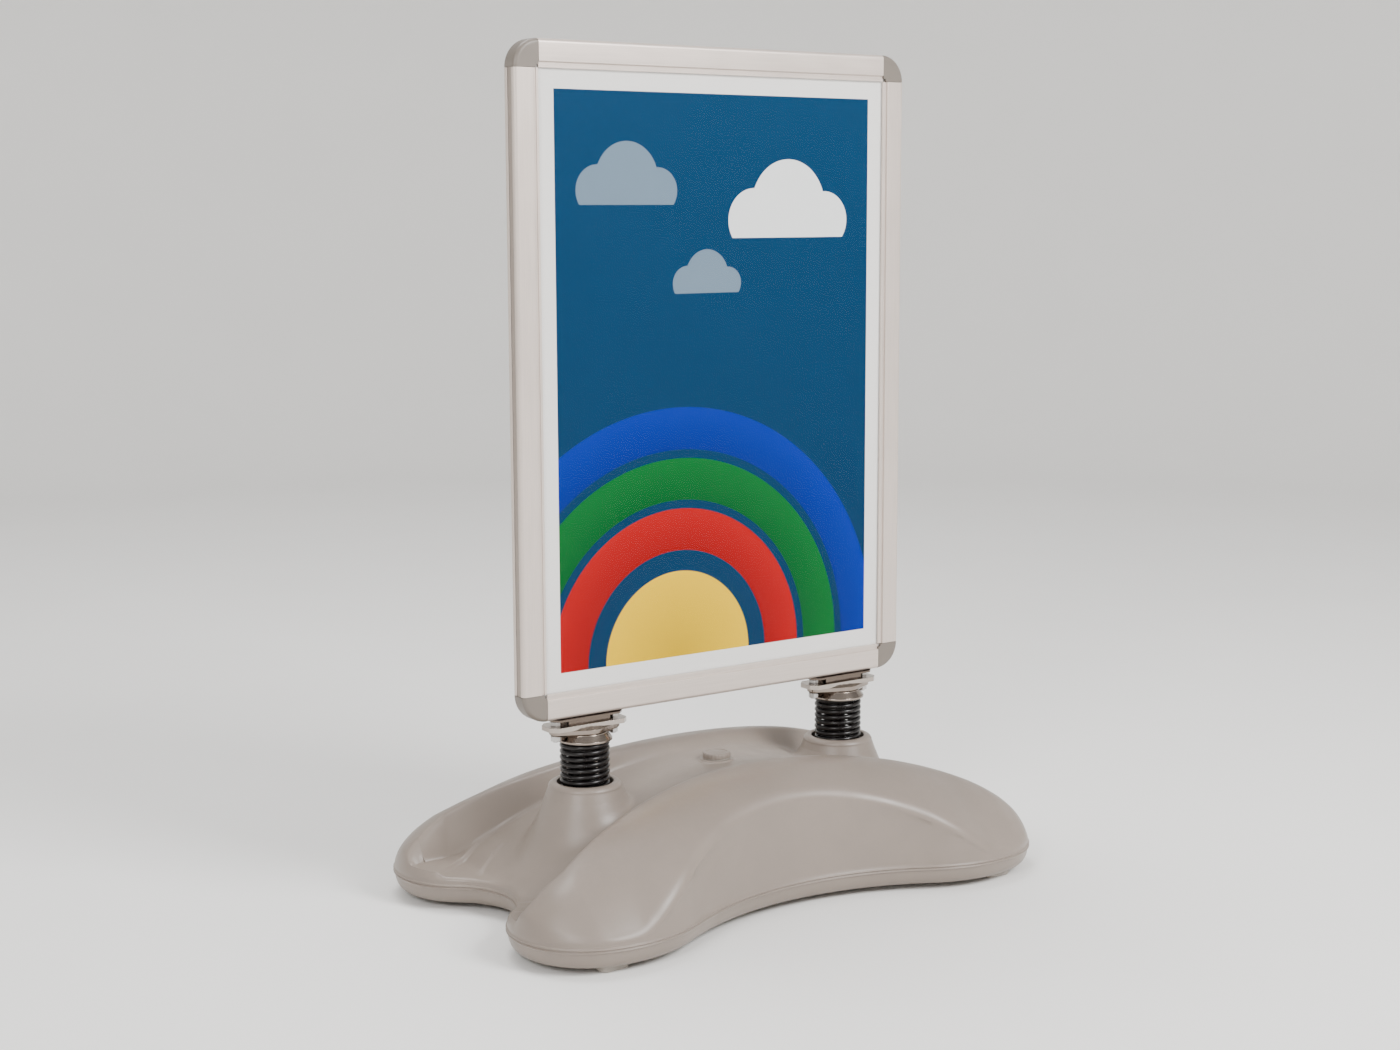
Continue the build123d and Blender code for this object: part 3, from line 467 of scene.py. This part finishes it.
def crest_height(x):
    """Height of the crest: 188 less 0.00044 x squared and 1.1e-9 x to the fourth. From BLUNT_X to the tip its
    height over the rim also shrinks by up to a quarter, with the square of the way."""
    ax = np.minimum(np.abs(x), TIP_X)
    along = 188.0 - 4.4e-4 * ax**2 - 1.1e-9 * ax**4
    past = np.clip((ax - BLUNT_X) / (TIP_X - BLUNT_X), 0, 1)
    return RIM_Z + (along - RIM_Z) * (1 - 0.25 * past**2)


def crest_place(x):
    """Distance of the crest from the middle line: 94.3, plus 66.4 times the square of x over SPREAD_X."""
    return 94.3 + 66.4 * np.minimum(np.abs(x) / SPREAD_X, 1) ** 2


def face_width(x):
    """Width in plan of a wing's inner face: 31, less 15 times the square of x over 300, and 16 beyond."""
    return 31.0 - 15.0 * np.minimum(np.abs(x) / 300.0, 1) ** 2


def edge_height(x):
    """Height of the outer top edge of a wing: an arch that settles on the rim towards the toe."""
    return arch(158.0, 445.0, np.minimum(np.abs(x), SPREAD_X), 12.0)


def turret_height(r):
    """Height of a turret's skirt at r from its axis, past being r beyond TURRET_R: 170 less 2.75 past, plus
    0.012 past squared. It is a cone 20 degrees off upright that flares outwards."""
    past = np.clip(r - TURRET_R, 0, 99.5)
    return 170.0 - 2.75 * past + 0.012 * past**2


def terraces(x, y):
    """Two shallow steps of the valley floor, 4.2 and 1.8 high. The edge of each is a parabola in plan, and each
    step fades in along X, the low one out again."""
    ax, ay = np.abs(x), np.abs(y)
    high_edge = 127.5 - 0.0058 * (ax - 322.0) ** 2
    low_edge = 85.5 - 0.0075 * (ax - 306.0) ** 2
    high = 4.2 * step_up(ay - high_edge, 7.0) * step_up(ax - 272.0, 30.0)
    low = 1.8 * step_up(ay - low_edge, 4.5) * step_up(ax - 302.0, 16.0) * step_up(356.0 - ax, 24.0)
    return high + low


def top_height(x, y):
    """Height of the tank's top. The valley floor is an arch along X that rises by FLOOR_DISH with the square of
    y over the wing's foot, and carries the terraces. A wing's inner face rises to the crest as 1 less the power
    1.9 of the way left. Its plank falls from the crest to the outer edge, by 0.42 of the way out and 0.58 of
    its square. Face and plank meet in the crest, rounded by a blend that grows from 7 to 23 between x = 340 and
    400. The skirts of the turrets are blended in, and sink by up to 4 under the turrets' own pieces."""
    across = np.abs(y)
    crest_y, face = crest_place(x), face_width(x)
    foot = crest_y - face
    crest, base, edge_z = crest_height(x), arch(172.0, 529.0, x, 4.0), edge_height(x)
    share = np.clip((crest - base) / 12.0, 0, 1)  # 0 where floor and crest run together at the toe's tip
    floor = base + FLOOR_DISH * np.minimum(across / foot, 1.2) ** 2 * share
    floor = floor + np.minimum(terraces(x, y), np.maximum(crest - base, 0) * 0.2)
    way = (across - foot) / face
    climb = np.where(way < 0, 1.9 * way, 1 - (1 - np.clip(way, 0, 1)) ** 1.9)
    inner = base + FLOOR_DISH * share + np.maximum(crest - base - FLOOR_DISH, 0) * climb
    inner = smooth_greatest(floor, inner, 5.0 + 3.0 * share)
    edge_y = np.maximum(outer_side(x, 2.5 + WALL_LEAN * (edge_z - WALL_Z)), crest_y + 14.0)
    out = (across - crest_y) / (edge_y - crest_y)
    soft = 7.0 + 16.0 * np.clip((np.abs(x) - 340.0) / 60.0, 0, 1)
    plank = crest + soft / 4 - np.maximum(crest - edge_z, 0) * (0.42 * out + 0.58 * np.maximum(out, 0) ** 2)
    height = smooth_least(inner, plank, soft)
    r = np.hypot(np.abs(x) - SPRING_X, y)
    skirt = turret_height(r) + 0.25 - np.clip((55.0 - r) * 0.8, 0, 4.0)
    return smooth_greatest(height, skirt, 22.0)


# Tank: the inner sheet's edges, and the wall outside them


def outer_edge(x):
    """The sheet's outer edge at x, which is the outline moved in by INSET, and the unit direction out of it:
    away from the arc's middle on the lobe and the toe, and towards it on the hollow front."""
    y = outer_side(x, INSET)
    on = [x < LOBE_X * (FRONT_R + INSET) / FRONT_REACH, x < LOBE_X + (LOBE_R - INSET) * sin(TOE_TURN)]
    out_x = np.select(on, [-x, x - LOBE_X], x - TOE_X)
    out_y = np.select(on, [FRONT_Y - y, y - LOBE_Y], y - TOE_Y)
    length = np.hypot(out_x, out_y)
    return y, out_x / length, out_y / length


def inner_edge(x):
    """The sheet's inner edge at x and the unit direction out of it: the middle line up to the end waist, then
    the hollow end's arc moved in by INSET, then the toe's inner side moved in likewise."""
    on_end = x < TOE_X + (TOE_R - INSET) / (TOE_R + END_R) * (END_X - TOE_X)
    y = np.where(on_end, root((END_R + INSET) ** 2 - (END_X - x) ** 2),
                 TOE_Y - root((TOE_R - INSET) ** 2 - (x - TOE_X) ** 2))
    y = np.where(x <= END_WAIST_X - INSET, 0.0, y)
    out_x = np.where(on_end, END_X - x, x - TOE_X)
    out_y = np.where(on_end, -y, y - TOE_Y)
    length = np.hypot(out_x, out_y)
    return y, out_x / length, out_y / length


# Points of the wall as (distance in from the outline, height): the rounded band under the tank, then the two
# fine ridges along the parting line
UNDER_BAND = ((24.0, 9.0), (18.0, 9.0), (13.0, 9.6), (9.4, 11.2), (6.4, 13.9), (4.1, 17.6), (2.4, 22.0),
              (1.3, 26.5), (0.7, 30.2))
PARTING_RIDGES = ((0.5, 31.4), (-0.2, 32.0), (-1.0, 32.6), (-1.25, 33.2), (-1.0, 33.8), (-0.2, 34.3),
                  (0.35, 34.8), (0.35, 35.4), (-0.2, 35.9), (-1.0, 36.4), (-1.3, 37.0), (-1.0, 37.7),
                  (-0.1, 38.3), (WALL_DEPTH, WALL_Z))
WALL_HOLLOW = 2.2
WALL_POINTS, EDGE_POINTS, DOME_POINTS = 33, 7, 8


def wall_rows(edge_z):
    """Distances in from the outline and heights of the wall below each height of its edge. Above the ridges it
    leans in by WALL_LEAN and is hollowed by a half sine of WALL_HOLLOW, less on a low wall."""
    share = np.linspace(0.06, 1.0, 12)
    reach = edge_z - WALL_Z
    z = WALL_Z + reach * share
    hollow = WALL_HOLLOW * np.sin(pi * share) * np.minimum(reach / 100.0, 1.0)
    low = np.tile(np.array(UNDER_BAND + PARTING_RIDGES), (len(edge_z), 1, 1))
    return (np.hstack([low[:, :, 0], WALL_DEPTH + (z - WALL_Z) * WALL_LEAN + hollow]),
            np.hstack([low[:, :, 1], z]))


def bend(start, corner, end, share):
    """The curve from start to end that heads for the corner at both: the share of the way between the points at
    that share of its two legs."""
    first, second = (1 - share) * start + share * corner, (1 - share) * corner + share * end
    return (1 - share) * first + share * second


def wall_columns(outline_x, outline_y, out_x, out_y, edge_z):
    """Columns of points from the underside to the inner sheet, one at each point of the outline: the wall
    shared out evenly over its points, the rounded edge as a bend, and the top, kept under a dome that rises by
    9.6 times the root of the distance past the edge."""
    depths, heights = wall_rows(edge_z)
    depth, top = depths[:, -1:], heights[:, -1:]
    soft = np.minimum(np.minimum(12.0, 0.5 * (edge_z - WALL_Z)), INSET - depth - 2.0)
    low_depth, low_z = depth - soft * WALL_LEAN, top - soft
    last = (heights[:, :-1] < low_z - 0.4).sum(axis=1, keepdims=True) - 1
    spot = np.linspace(0, 1, WALL_POINTS) * last
    before = np.minimum(spot.astype(int), last - 1)
    wall_depth, wall_z = [
        np.take_along_axis(rows, before, 1) * (before + 1 - spot)
        + np.take_along_axis(rows, before + 1, 1) * (spot - before) for rows in (depths, heights)]

    nearest = depth + soft + 0.5
    dome_depth = nearest + (INSET - nearest) * np.linspace(0, 1, DOME_POINTS)
    dome_z = smooth_least(top_height(outline_x - out_x * dome_depth, outline_y - out_y * dome_depth),
                          edge_z + 9.6 * root(dome_depth - depth), 3.0)
    share = np.linspace(0, 1, EDGE_POINTS + 1)[:-1]
    edge_depth = bend(low_depth, depth, dome_depth[:, :1], share)
    corner_z = np.minimum(top, dome_z[:, :1] + 0.5)
    rounded_z = bend(low_z, corner_z, dome_z[:, :1], share)

    inwards = np.hstack([wall_depth, edge_depth, dome_depth])
    return np.stack([outline_x - out_x * inwards, outline_y - out_y * inwards,
                     np.hstack([wall_z, rounded_z, dome_z])], axis=-1)


# Tank: the mesh
BODY_STATIONS, TIP_STATIONS = 105, 45
FLOOR_ROWS, FACE_ROWS, PLANK_ROWS = 34, 16, 22
QUARTERS = ((1, 1), (-1, 1), (-1, -1), (1, -1))
MERGE_DECIMALS = 3  # points that agree to these decimals of a millimetre are one


def stations():
    """Places along X of one quarter: even over the body up to the end waist, then by a half cosine to the tip,
    which sets them closer together at both of its ends."""
    waist, tip = END_WAIST_X - INSET, TIP_X - INSET
    share = (1 - np.cos(np.linspace(0, pi, TIP_STATIONS + 1))) / 2
    return np.concatenate([np.linspace(0, waist, BODY_STATIONS), waist + (tip - waist) * share[1:]])


def patch_faces(numbers, flip):
    """Quads between neighbours in a grid of point numbers. A quad with corners that coincide is a triangle, or
    none."""
    quads = np.stack([numbers[:-1, :-1], numbers[1:, :-1], numbers[1:, 1:], numbers[:-1, 1:]], axis=-1)
    quads = quads.reshape(-1, 4)
    apart = quads != np.roll(quads, 1, axis=1)
    faces = quads.tolist()
    for n in np.flatnonzero(~apart.all(axis=1)):
        faces[n] = quads[n, apart[n]].tolist()
    return [face[::-1] if flip else face for face in faces if len(face) > 2]


def tank_mesh():
    """The whole skin of the tank. Each quarter is a sheet of stations along X by rows along Y that follow the
    foot and the crest of the wing, and a ring of wall columns round it, with one flat face underneath."""
    x = stations()
    low, low_out_x, low_out_y = inner_edge(x)
    high, high_out_x, high_out_y = outer_edge(x)
    width = high - low
    crest = np.clip(crest_place(x), low + 0.4 * width, high - 0.3 * width)
    foot = np.clip(crest - face_width(x), low + 0.25 * width, high)
    y = np.hstack([np.linspace(low, foot, FLOOR_ROWS + 1, axis=-1),
                   np.linspace(foot, crest, FACE_ROWS + 1, axis=-1)[:, 1:],
                   np.linspace(crest, high, PLANK_ROWS + 1, axis=-1)[:, 1:]])
    sheet = np.stack([x[:, None] + 0 * y, y, top_height(x[:, None], y)], axis=-1)

    back = np.flatnonzero(x >= END_WAIST_X - INSET)[-2::-1]  # from the tip along the inner edge to the end waist
    out_x = np.concatenate([high_out_x, low_out_x[back]])[:, None]
    out_y = np.concatenate([high_out_y, low_out_y[back]])[:, None]
    outline_x = np.concatenate([x, x[back]])[:, None] + out_x * INSET
    outline_y = np.concatenate([high, low[back]])[:, None] + out_y * INSET
    edge_z = np.full_like(outline_x, RIM_Z)
    edge_z[:len(x)] = edge_height(outline_x[:len(x)])
    columns = wall_columns(outline_x, outline_y, out_x, out_y, edge_z)
    columns[:, -1] = np.concatenate([sheet[:, -1], sheet[back, 0]])

    quarter = np.concatenate([sheet.reshape(-1, 3), columns.reshape(-1, 3)])
    points = np.concatenate([quarter * (side_x, side_y, 1) for side_x, side_y in QUARTERS])
    _, first, same = np.unique(np.round(points, MERGE_DECIMALS) + 0.0, axis=0, return_index=True,
                               return_inverse=True)
    order = np.argsort(first)
    numbers = np.argsort(order)[same.ravel()].reshape(len(QUARTERS), -1)
    sheets = numbers[:, :sheet.shape[0] * sheet.shape[1]].reshape(-1, *sheet.shape[:2])
    walls = numbers[:, sheet.shape[0] * sheet.shape[1]:].reshape(-1, *columns.shape[:2])

    faces = []
    for (side_x, side_y), sheet_numbers, wall_numbers in zip(QUARTERS, sheets, walls):
        mirrored = side_x * side_y < 0
        faces += patch_faces(sheet_numbers, mirrored) + patch_faces(wall_numbers, not mirrored)
    feet = walls[:, :, 0]
    bottom = np.concatenate([feet[0], feet[3, ::-1], feet[2], feet[1, ::-1]])
    bottom = bottom[bottom != np.append(bottom[1:], bottom[0])]
    return points[first[order]], faces + [bottom.tolist()]


def drill(piece, places, radius, low, high, steps=48):
    """Cut upright round recesses, from one height to another, into a closed mesh at places along X."""
    for x in places:
        points, faces = revolve([(radius, low), (radius, high)], x, steps)
        ends = [list(range(steps)), list(range(2 * steps - 1, steps - 1, -1))]
        cutter = new_piece("cutter", points, faces + ends, smooth=False)
        face_outwards(cutter.data)
        cut = piece.modifiers.new("cut", "BOOLEAN")
        cut.operation = "DIFFERENCE"
        cut.solver = "EXACT"
        cut.object = cutter
        bpy.context.view_layer.update()
        depsgraph = bpy.context.evaluated_depsgraph_get()
        mesh = bpy.data.meshes.new_from_object(piece.evaluated_get(depsgraph))
        piece.modifiers.clear()
        piece.data = mesh
        bpy.data.objects.remove(cutter)


ABOVE_TANK_Z = 260.0
BOLT_RECESS_R, BOLT_RECESS_Z = 22.0, 69.0
TURRET_MOUTH_R, TURRET_MOUTH_Z = 48.0, 100.0
NECK_R, NECK_Z = 15.0, 130.0

tank = new_piece("tank_skin", *tank_mesh())
drill(tank, (-SPRING_X, SPRING_X), BOLT_RECESS_R, 0.0, BOLT_RECESS_Z)
drill(tank, (-SPRING_X, SPRING_X), TURRET_MOUTH_R, TURRET_MOUTH_Z, ABOVE_TANK_Z)
drill(tank, (0.0,), NECK_R, NECK_Z, ABOVE_TANK_Z)
tank.data.shade_smooth()
sharpen(tank, 50)
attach(tank, "base")
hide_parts("base_tank")
paint(tank, tank_plastic)


def turret_profile():
    """Profile of a turret from its skirt over the rounded lip into the spring's recess, and down the bolt's hole
    to the roof of the recess under the tank. The skirt's foot sinks by 0.3 for each millimetre beyond 55."""
    r = np.linspace(60.0, TURRET_R, 24)
    skirt = np.stack([r, turret_height(r) - 0.3 * np.maximum(r - 55.0, 0.0)], axis=1).tolist()
    lip = arc_points(42.9, 168.8, 8.1, 16, 90, 12) + [(42.0, 176.9)] + arc_points(40.5, 175.0, 2.0, 90, 180, 6)
    return skirt + lip + [(38.5, 165.0), (38.5, 151.5), (37.6, 150.3), (36.0, 150.0), (6.3, 150.0),
                          (6.3, BOLT_RECESS_Z), (21.9, BOLT_RECESS_Z)]


BOSS_PROFILE = [(31.0, 168.0), (28.0, 171.2), (26.0, 172.6), *arc_points(23.0, 173.0, 1.5, 0, 90, 6),
                (15.6, 174.5), (NECK_R, 174.0), (NECK_R, NECK_Z)]

for name, profile, x, steps in (("turret_left", turret_profile(), -SPRING_X, 128),
                                ("turret_right", turret_profile(), SPRING_X, 128),
                                ("filler_boss", BOSS_PROFILE, 0.0, 72)):
    moulding = new_piece(name, *revolve(profile, x, steps), "base", slot="tank_plastic")
    sharpen(moulding, 40)
    paint(moulding, tank_plastic)


# Filler plug: low domed cap with grips round its edge, on a threaded stem
CAP_PROFILE = ((15.0, 176.1, 0), (19.3, 176.1, 1), (19.9, 176.7, 1), (19.9, 181.6, 1), (19.4, 182.7, 1),
               (18.4, 183.3, 0.3), (16.8, 183.5, 0), (15.9, 183.4, 0), (15.4, 182.7, 0), (14.6, 182.6, 0),
               (10.0, 183.1, 0), (5.0, 183.4, 0), (0.2, 183.5, 0))  # radius, height and share of the grips
CAP_STEPS, GRIPS, GRIP_DEPTH = 192, 24, 0.55
THREADS, THREAD_TOP_Z, THREAD_PITCH = 5, 174.0, 2.4


def plug_cap():
    """Points and faces of the cap: its profile turned round the axis. The radius is less by GRIP_DEPTH times
    the grips' share where the cosine of 24 turns is above 0.2. The top is a low dome inside a raised ring."""
    turn = np.linspace(0, 2 * pi, CAP_STEPS, endpoint=False)
    radius, z, grip = np.array(CAP_PROFILE)[:, :, None].swapaxes(0, 1)
    r = radius - GRIP_DEPTH * grip * np.clip(np.cos(GRIPS * turn) - 0.2, 0, 1) / 0.8
    points = np.stack([r * np.cos(turn), r * np.sin(turn), z + 0 * turn], axis=-1)
    return points.reshape(-1, 3), ring_faces(len(CAP_PROFILE), CAP_STEPS, flip=True)


def plug_stem():
    """Points and faces of the stem: a profile with one blunt tooth for each turn of thread, turned round."""
    tooth = np.array([(13.6, 0.0), (14.85, -0.9), (14.85, -1.3), (13.6, -2.1)])
    threads = [tooth + (0.0, THREAD_TOP_Z - n * THREAD_PITCH) for n in range(THREADS)]
    return revolve(np.concatenate([[(15.0, 176.1)], *threads, [(13.4, 161.6), (12.6, 160.9), (0.2, 160.9)]]))


cap_points, cap_faces = plug_cap()
stem_points, stem_faces = plug_stem()
plug = new_piece("plug_cap", np.concatenate([cap_points, stem_points]),
                 cap_faces + (np.array(stem_faces) + len(cap_points)).tolist(),
                 "filler_plug", ["filler_plug"], "plug_plastic")
sharpen(plug, 38)
paint(plug, plug_plastic)


# Springs
COIL_R, WIRE_R = 30.8, 3.6
COIL_LOW_Z, COIL_HIGH_Z, COIL_TURNS = 153.8, 236.2, 10
STEPS_PER_TURN, WIRE_SIDES = 64, 18


def coil(name, x, start):
    """One round wire with flat ends. Its middle follows a helix of radius COIL_R about the axis at x, from the
    start angle, climbing steadily. Each section is a circle of WIRE_R in the directions away from the axis and
    square to that and to the helix."""
    share = np.linspace(0, 1, COIL_TURNS * STEPS_PER_TURN + 1)
    angle = start + 2 * pi * COIL_TURNS * share
    climb = COIL_HIGH_Z - COIL_LOW_Z
    middle = np.stack([x + COIL_R * np.cos(angle), COIL_R * np.sin(angle), COIL_LOW_Z + climb * share], 1)
    along = np.stack([-np.sin(angle) * COIL_R, np.cos(angle) * COIL_R,
                      0 * angle + climb / COIL_TURNS / (2 * pi)], 1)
    along /= np.linalg.norm(along, axis=1)[:, None]
    outward = np.stack([np.cos(angle), np.sin(angle), 0 * angle], 1)
    upward = np.cross(along, outward)
    round_wire = np.linspace(0, 2 * pi, WIRE_SIDES, endpoint=False)[:, None]
    points = middle[:, None] + WIRE_R * (outward[:, None] * np.cos(round_wire)
                                         + upward[:, None] * np.sin(round_wire))
    count = len(share) * WIRE_SIDES
    ends = [list(range(WIRE_SIDES - 1, -1, -1)), list(range(count - WIRE_SIDES, count))]
    piece = new_piece(name, points.reshape(-1, 3), ring_faces(len(share), WIRE_SIDES) + ends)
    face_outwards(piece.data)
    sharpen(piece, 60)
    return piece


spring_steel = spring_enamel()
for (side, x), start in zip(SIDES, (pi, 0.0)):
    spring = coil(f"coil_{side}", x, start)
    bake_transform(spring)
    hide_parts(f"spring_{side}")
    paint(spring, spring_steel)


# Clamps and fasteners, with the width of their broken edges
for side, _ in SIDES:
    for node, width, material in ((f"spring_cup_{side}", 0.8, cup_chrome),
                                  (f"clamp_plate_{side}", 0.9, plate_chrome),
                                  (f"clamp_saddle_{side}", 0.5, saddle_steel)):
        paint(dressed(node, width, segments=3), material)
for node, width in (("clamp_bolts", 0.6), ("clamp_nuts", 0.5), ("anchor_bolts", 0.6), ("anchor_washers", 0.4)):
    paint(dressed(node, width), zinc_steel)
for node in ("centre_bolts", "saddle_screws", "nut_bars", "corner_braces", "lower_anchor_left",
             "lower_anchor_right", "upper_anchor_left", "upper_anchor_right", "lid_springs_front",
             "lid_springs_back"):
    paint(frame["nodes"][node], zinc_steel)

# Snap frame
for rail in ("bottom", "top", "left", "right"):
    level = rail in ("bottom", "top")
    paint(frame["nodes"][f"rail_{rail}"], carcass_x if level else carcass_z)
    for face in ("front", "back"):
        paint(dressed(f"lid_{face}_{rail}", 0.25), aluminium_x if level else aluminium_z)
for corner in ("bottom_left", "bottom_right", "top_right", "top_left"):
    paint(dressed(f"corner_cap_{corner}", 0.5), corner_plastic)

# Boards, posters and covers. A cover's faces leave a gap to the poster, so that both show.
COVER_X, COVER_Y, COVER_Z = (-297.0, 297.0), (8.58, 9.5), (297.0, 1138.0)
COVER_FACES = [(0, 1, 3, 2), (4, 6, 7, 5), (0, 4, 5, 1), (2, 3, 7, 6), (0, 2, 6, 4), (1, 5, 7, 3)]
cover_clear = clear_sheet()
for face, side in (("front", -1), ("back", 1)):
    paint(frame["nodes"][f"backing_{face}"], board_plastic)
    paint(frame["nodes"][f"poster_{face}"], poster_print(f"poster_print_{face}", side))
    corners = [(x, side * y, z) for y in COVER_Y for z in COVER_Z for x in COVER_X]
    cover = new_piece(f"clear_cover_{face}", corners, [quad[::side] for quad in COVER_FACES], "panel",
                      [f"cover_{face}"], "clear_sheet", smooth=False)
    paint(cover, cover_clear)

# Seal and foot pads
for node, width in (("filler_seal", 0.3), ("foot_pads", 0.8)):
    paint(dressed(node, width), foot_rubber)


# Studio: floor, light and camera
FLOOR_Z, FLOOR_R, WALL_CURVE_R, STUDIO_TOP_Z = -0.05, 4600.0, 1500.0, 3400.0
SKY = (("From Min", -0.1), ("From Max", 0.9), ("To Min", 0.16), ("To Max", 0.7))  # brightness by height
SKY_COLOUR = (1.0, 0.99, 0.975, 1.0)
LAMPS = (("key", (1.3, -3.3, 2.9), (0, 0, 0.5), 1.6, 225.0),  # place, target and size in metres, then watts
         ("fill", (-3.0, -1.9, 2.3), (0, 0, 0.3), 1.2, 70.0),
         ("top", (-0.2, 1.2, 4.0), (0, 0, 0.2), 2.0, 105.0))
CAMERA_PLACE = (-1.7108, -2.3913, 0.9459)  # metres
CAMERA_YAW, CAMERA_PITCH, CAMERA_ROLL = radians(35.142), radians(8.438), radians(-0.186)
CAMERA_FOCUS_PX, FRAME_WIDTH_PX, SENSOR_WIDTH = 2118.8, 1400, 36.0


def studio():
    """A pale round floor that curves up into a wall, and light that grows with height, with three soft boxes."""
    profile = [(0.001, FLOOR_Z), (FLOOR_R, FLOOR_Z), *arc_points(FLOOR_R, WALL_CURVE_R, WALL_CURVE_R, -84, 0, 15),
               (FLOOR_R + WALL_CURVE_R, STUDIO_TOP_Z)]
    floor = new_piece("studio_floor", *revolve(profile))
    paint(floor, studio_floor())

    world = bpy.data.worlds.new("studio")
    world.use_nodes = True
    nodes, links = world.node_tree.nodes, world.node_tree.links
    up = nodes.new("ShaderNodeSeparateXYZ")
    links.new(nodes.new("ShaderNodeTexCoord").outputs["Generated"], up.inputs[0])
    ramp = nodes.new("ShaderNodeMapRange")
    links.new(up.outputs[2], ramp.inputs["Value"])
    for socket, value in SKY:
        ramp.inputs[socket].default_value = value
    nodes["Background"].inputs[0].default_value = SKY_COLOUR
    links.new(ramp.outputs["Result"], nodes["Background"].inputs[1])
    bpy.context.scene.world = world

    for name, place, target, size, watts in LAMPS:
        light = bpy.data.lights.new(name, "AREA")
        light.shape = "SQUARE"
        light.size = size
        light.energy = watts
        lamp = bpy.data.objects.new(name, light)
        lamp.location = place
        lamp.rotation_euler = (Vector(target) - Vector(place)).to_track_quat("-Z", "Y").to_euler()
        bpy.context.scene.collection.objects.link(lamp)


def photo_camera():
    """The photograph's camera, fitted to the frame's window. It looks along the yaw from +Y towards +X, lowered
    by the pitch, and its right and up directions are turned about that by the roll."""
    yaw, pitch, roll = CAMERA_YAW, CAMERA_PITCH, CAMERA_ROLL
    forward = Vector((sin(yaw) * cos(pitch), cos(yaw) * cos(pitch), -sin(pitch)))
    level = Vector((cos(yaw), -sin(yaw), 0))
    above = level.cross(forward)
    across = cos(roll) * level + sin(roll) * above
    upward = cos(roll) * above - sin(roll) * level
    data = bpy.data.cameras.new("camera")
    data.sensor_width = SENSOR_WIDTH
    data.sensor_fit = "HORIZONTAL"
    data.lens = CAMERA_FOCUS_PX / FRAME_WIDTH_PX * SENSOR_WIDTH
    data.clip_end = 50.0
    camera = bpy.data.objects.new("camera", data)
    turn = Matrix((across, upward, -forward)).transposed().to_4x4()
    camera.matrix_world = Matrix.Translation(Vector(CAMERA_PLACE)) @ turn
    bpy.context.scene.collection.objects.link(camera)
    bpy.context.scene.camera = camera


studio()
photo_camera()
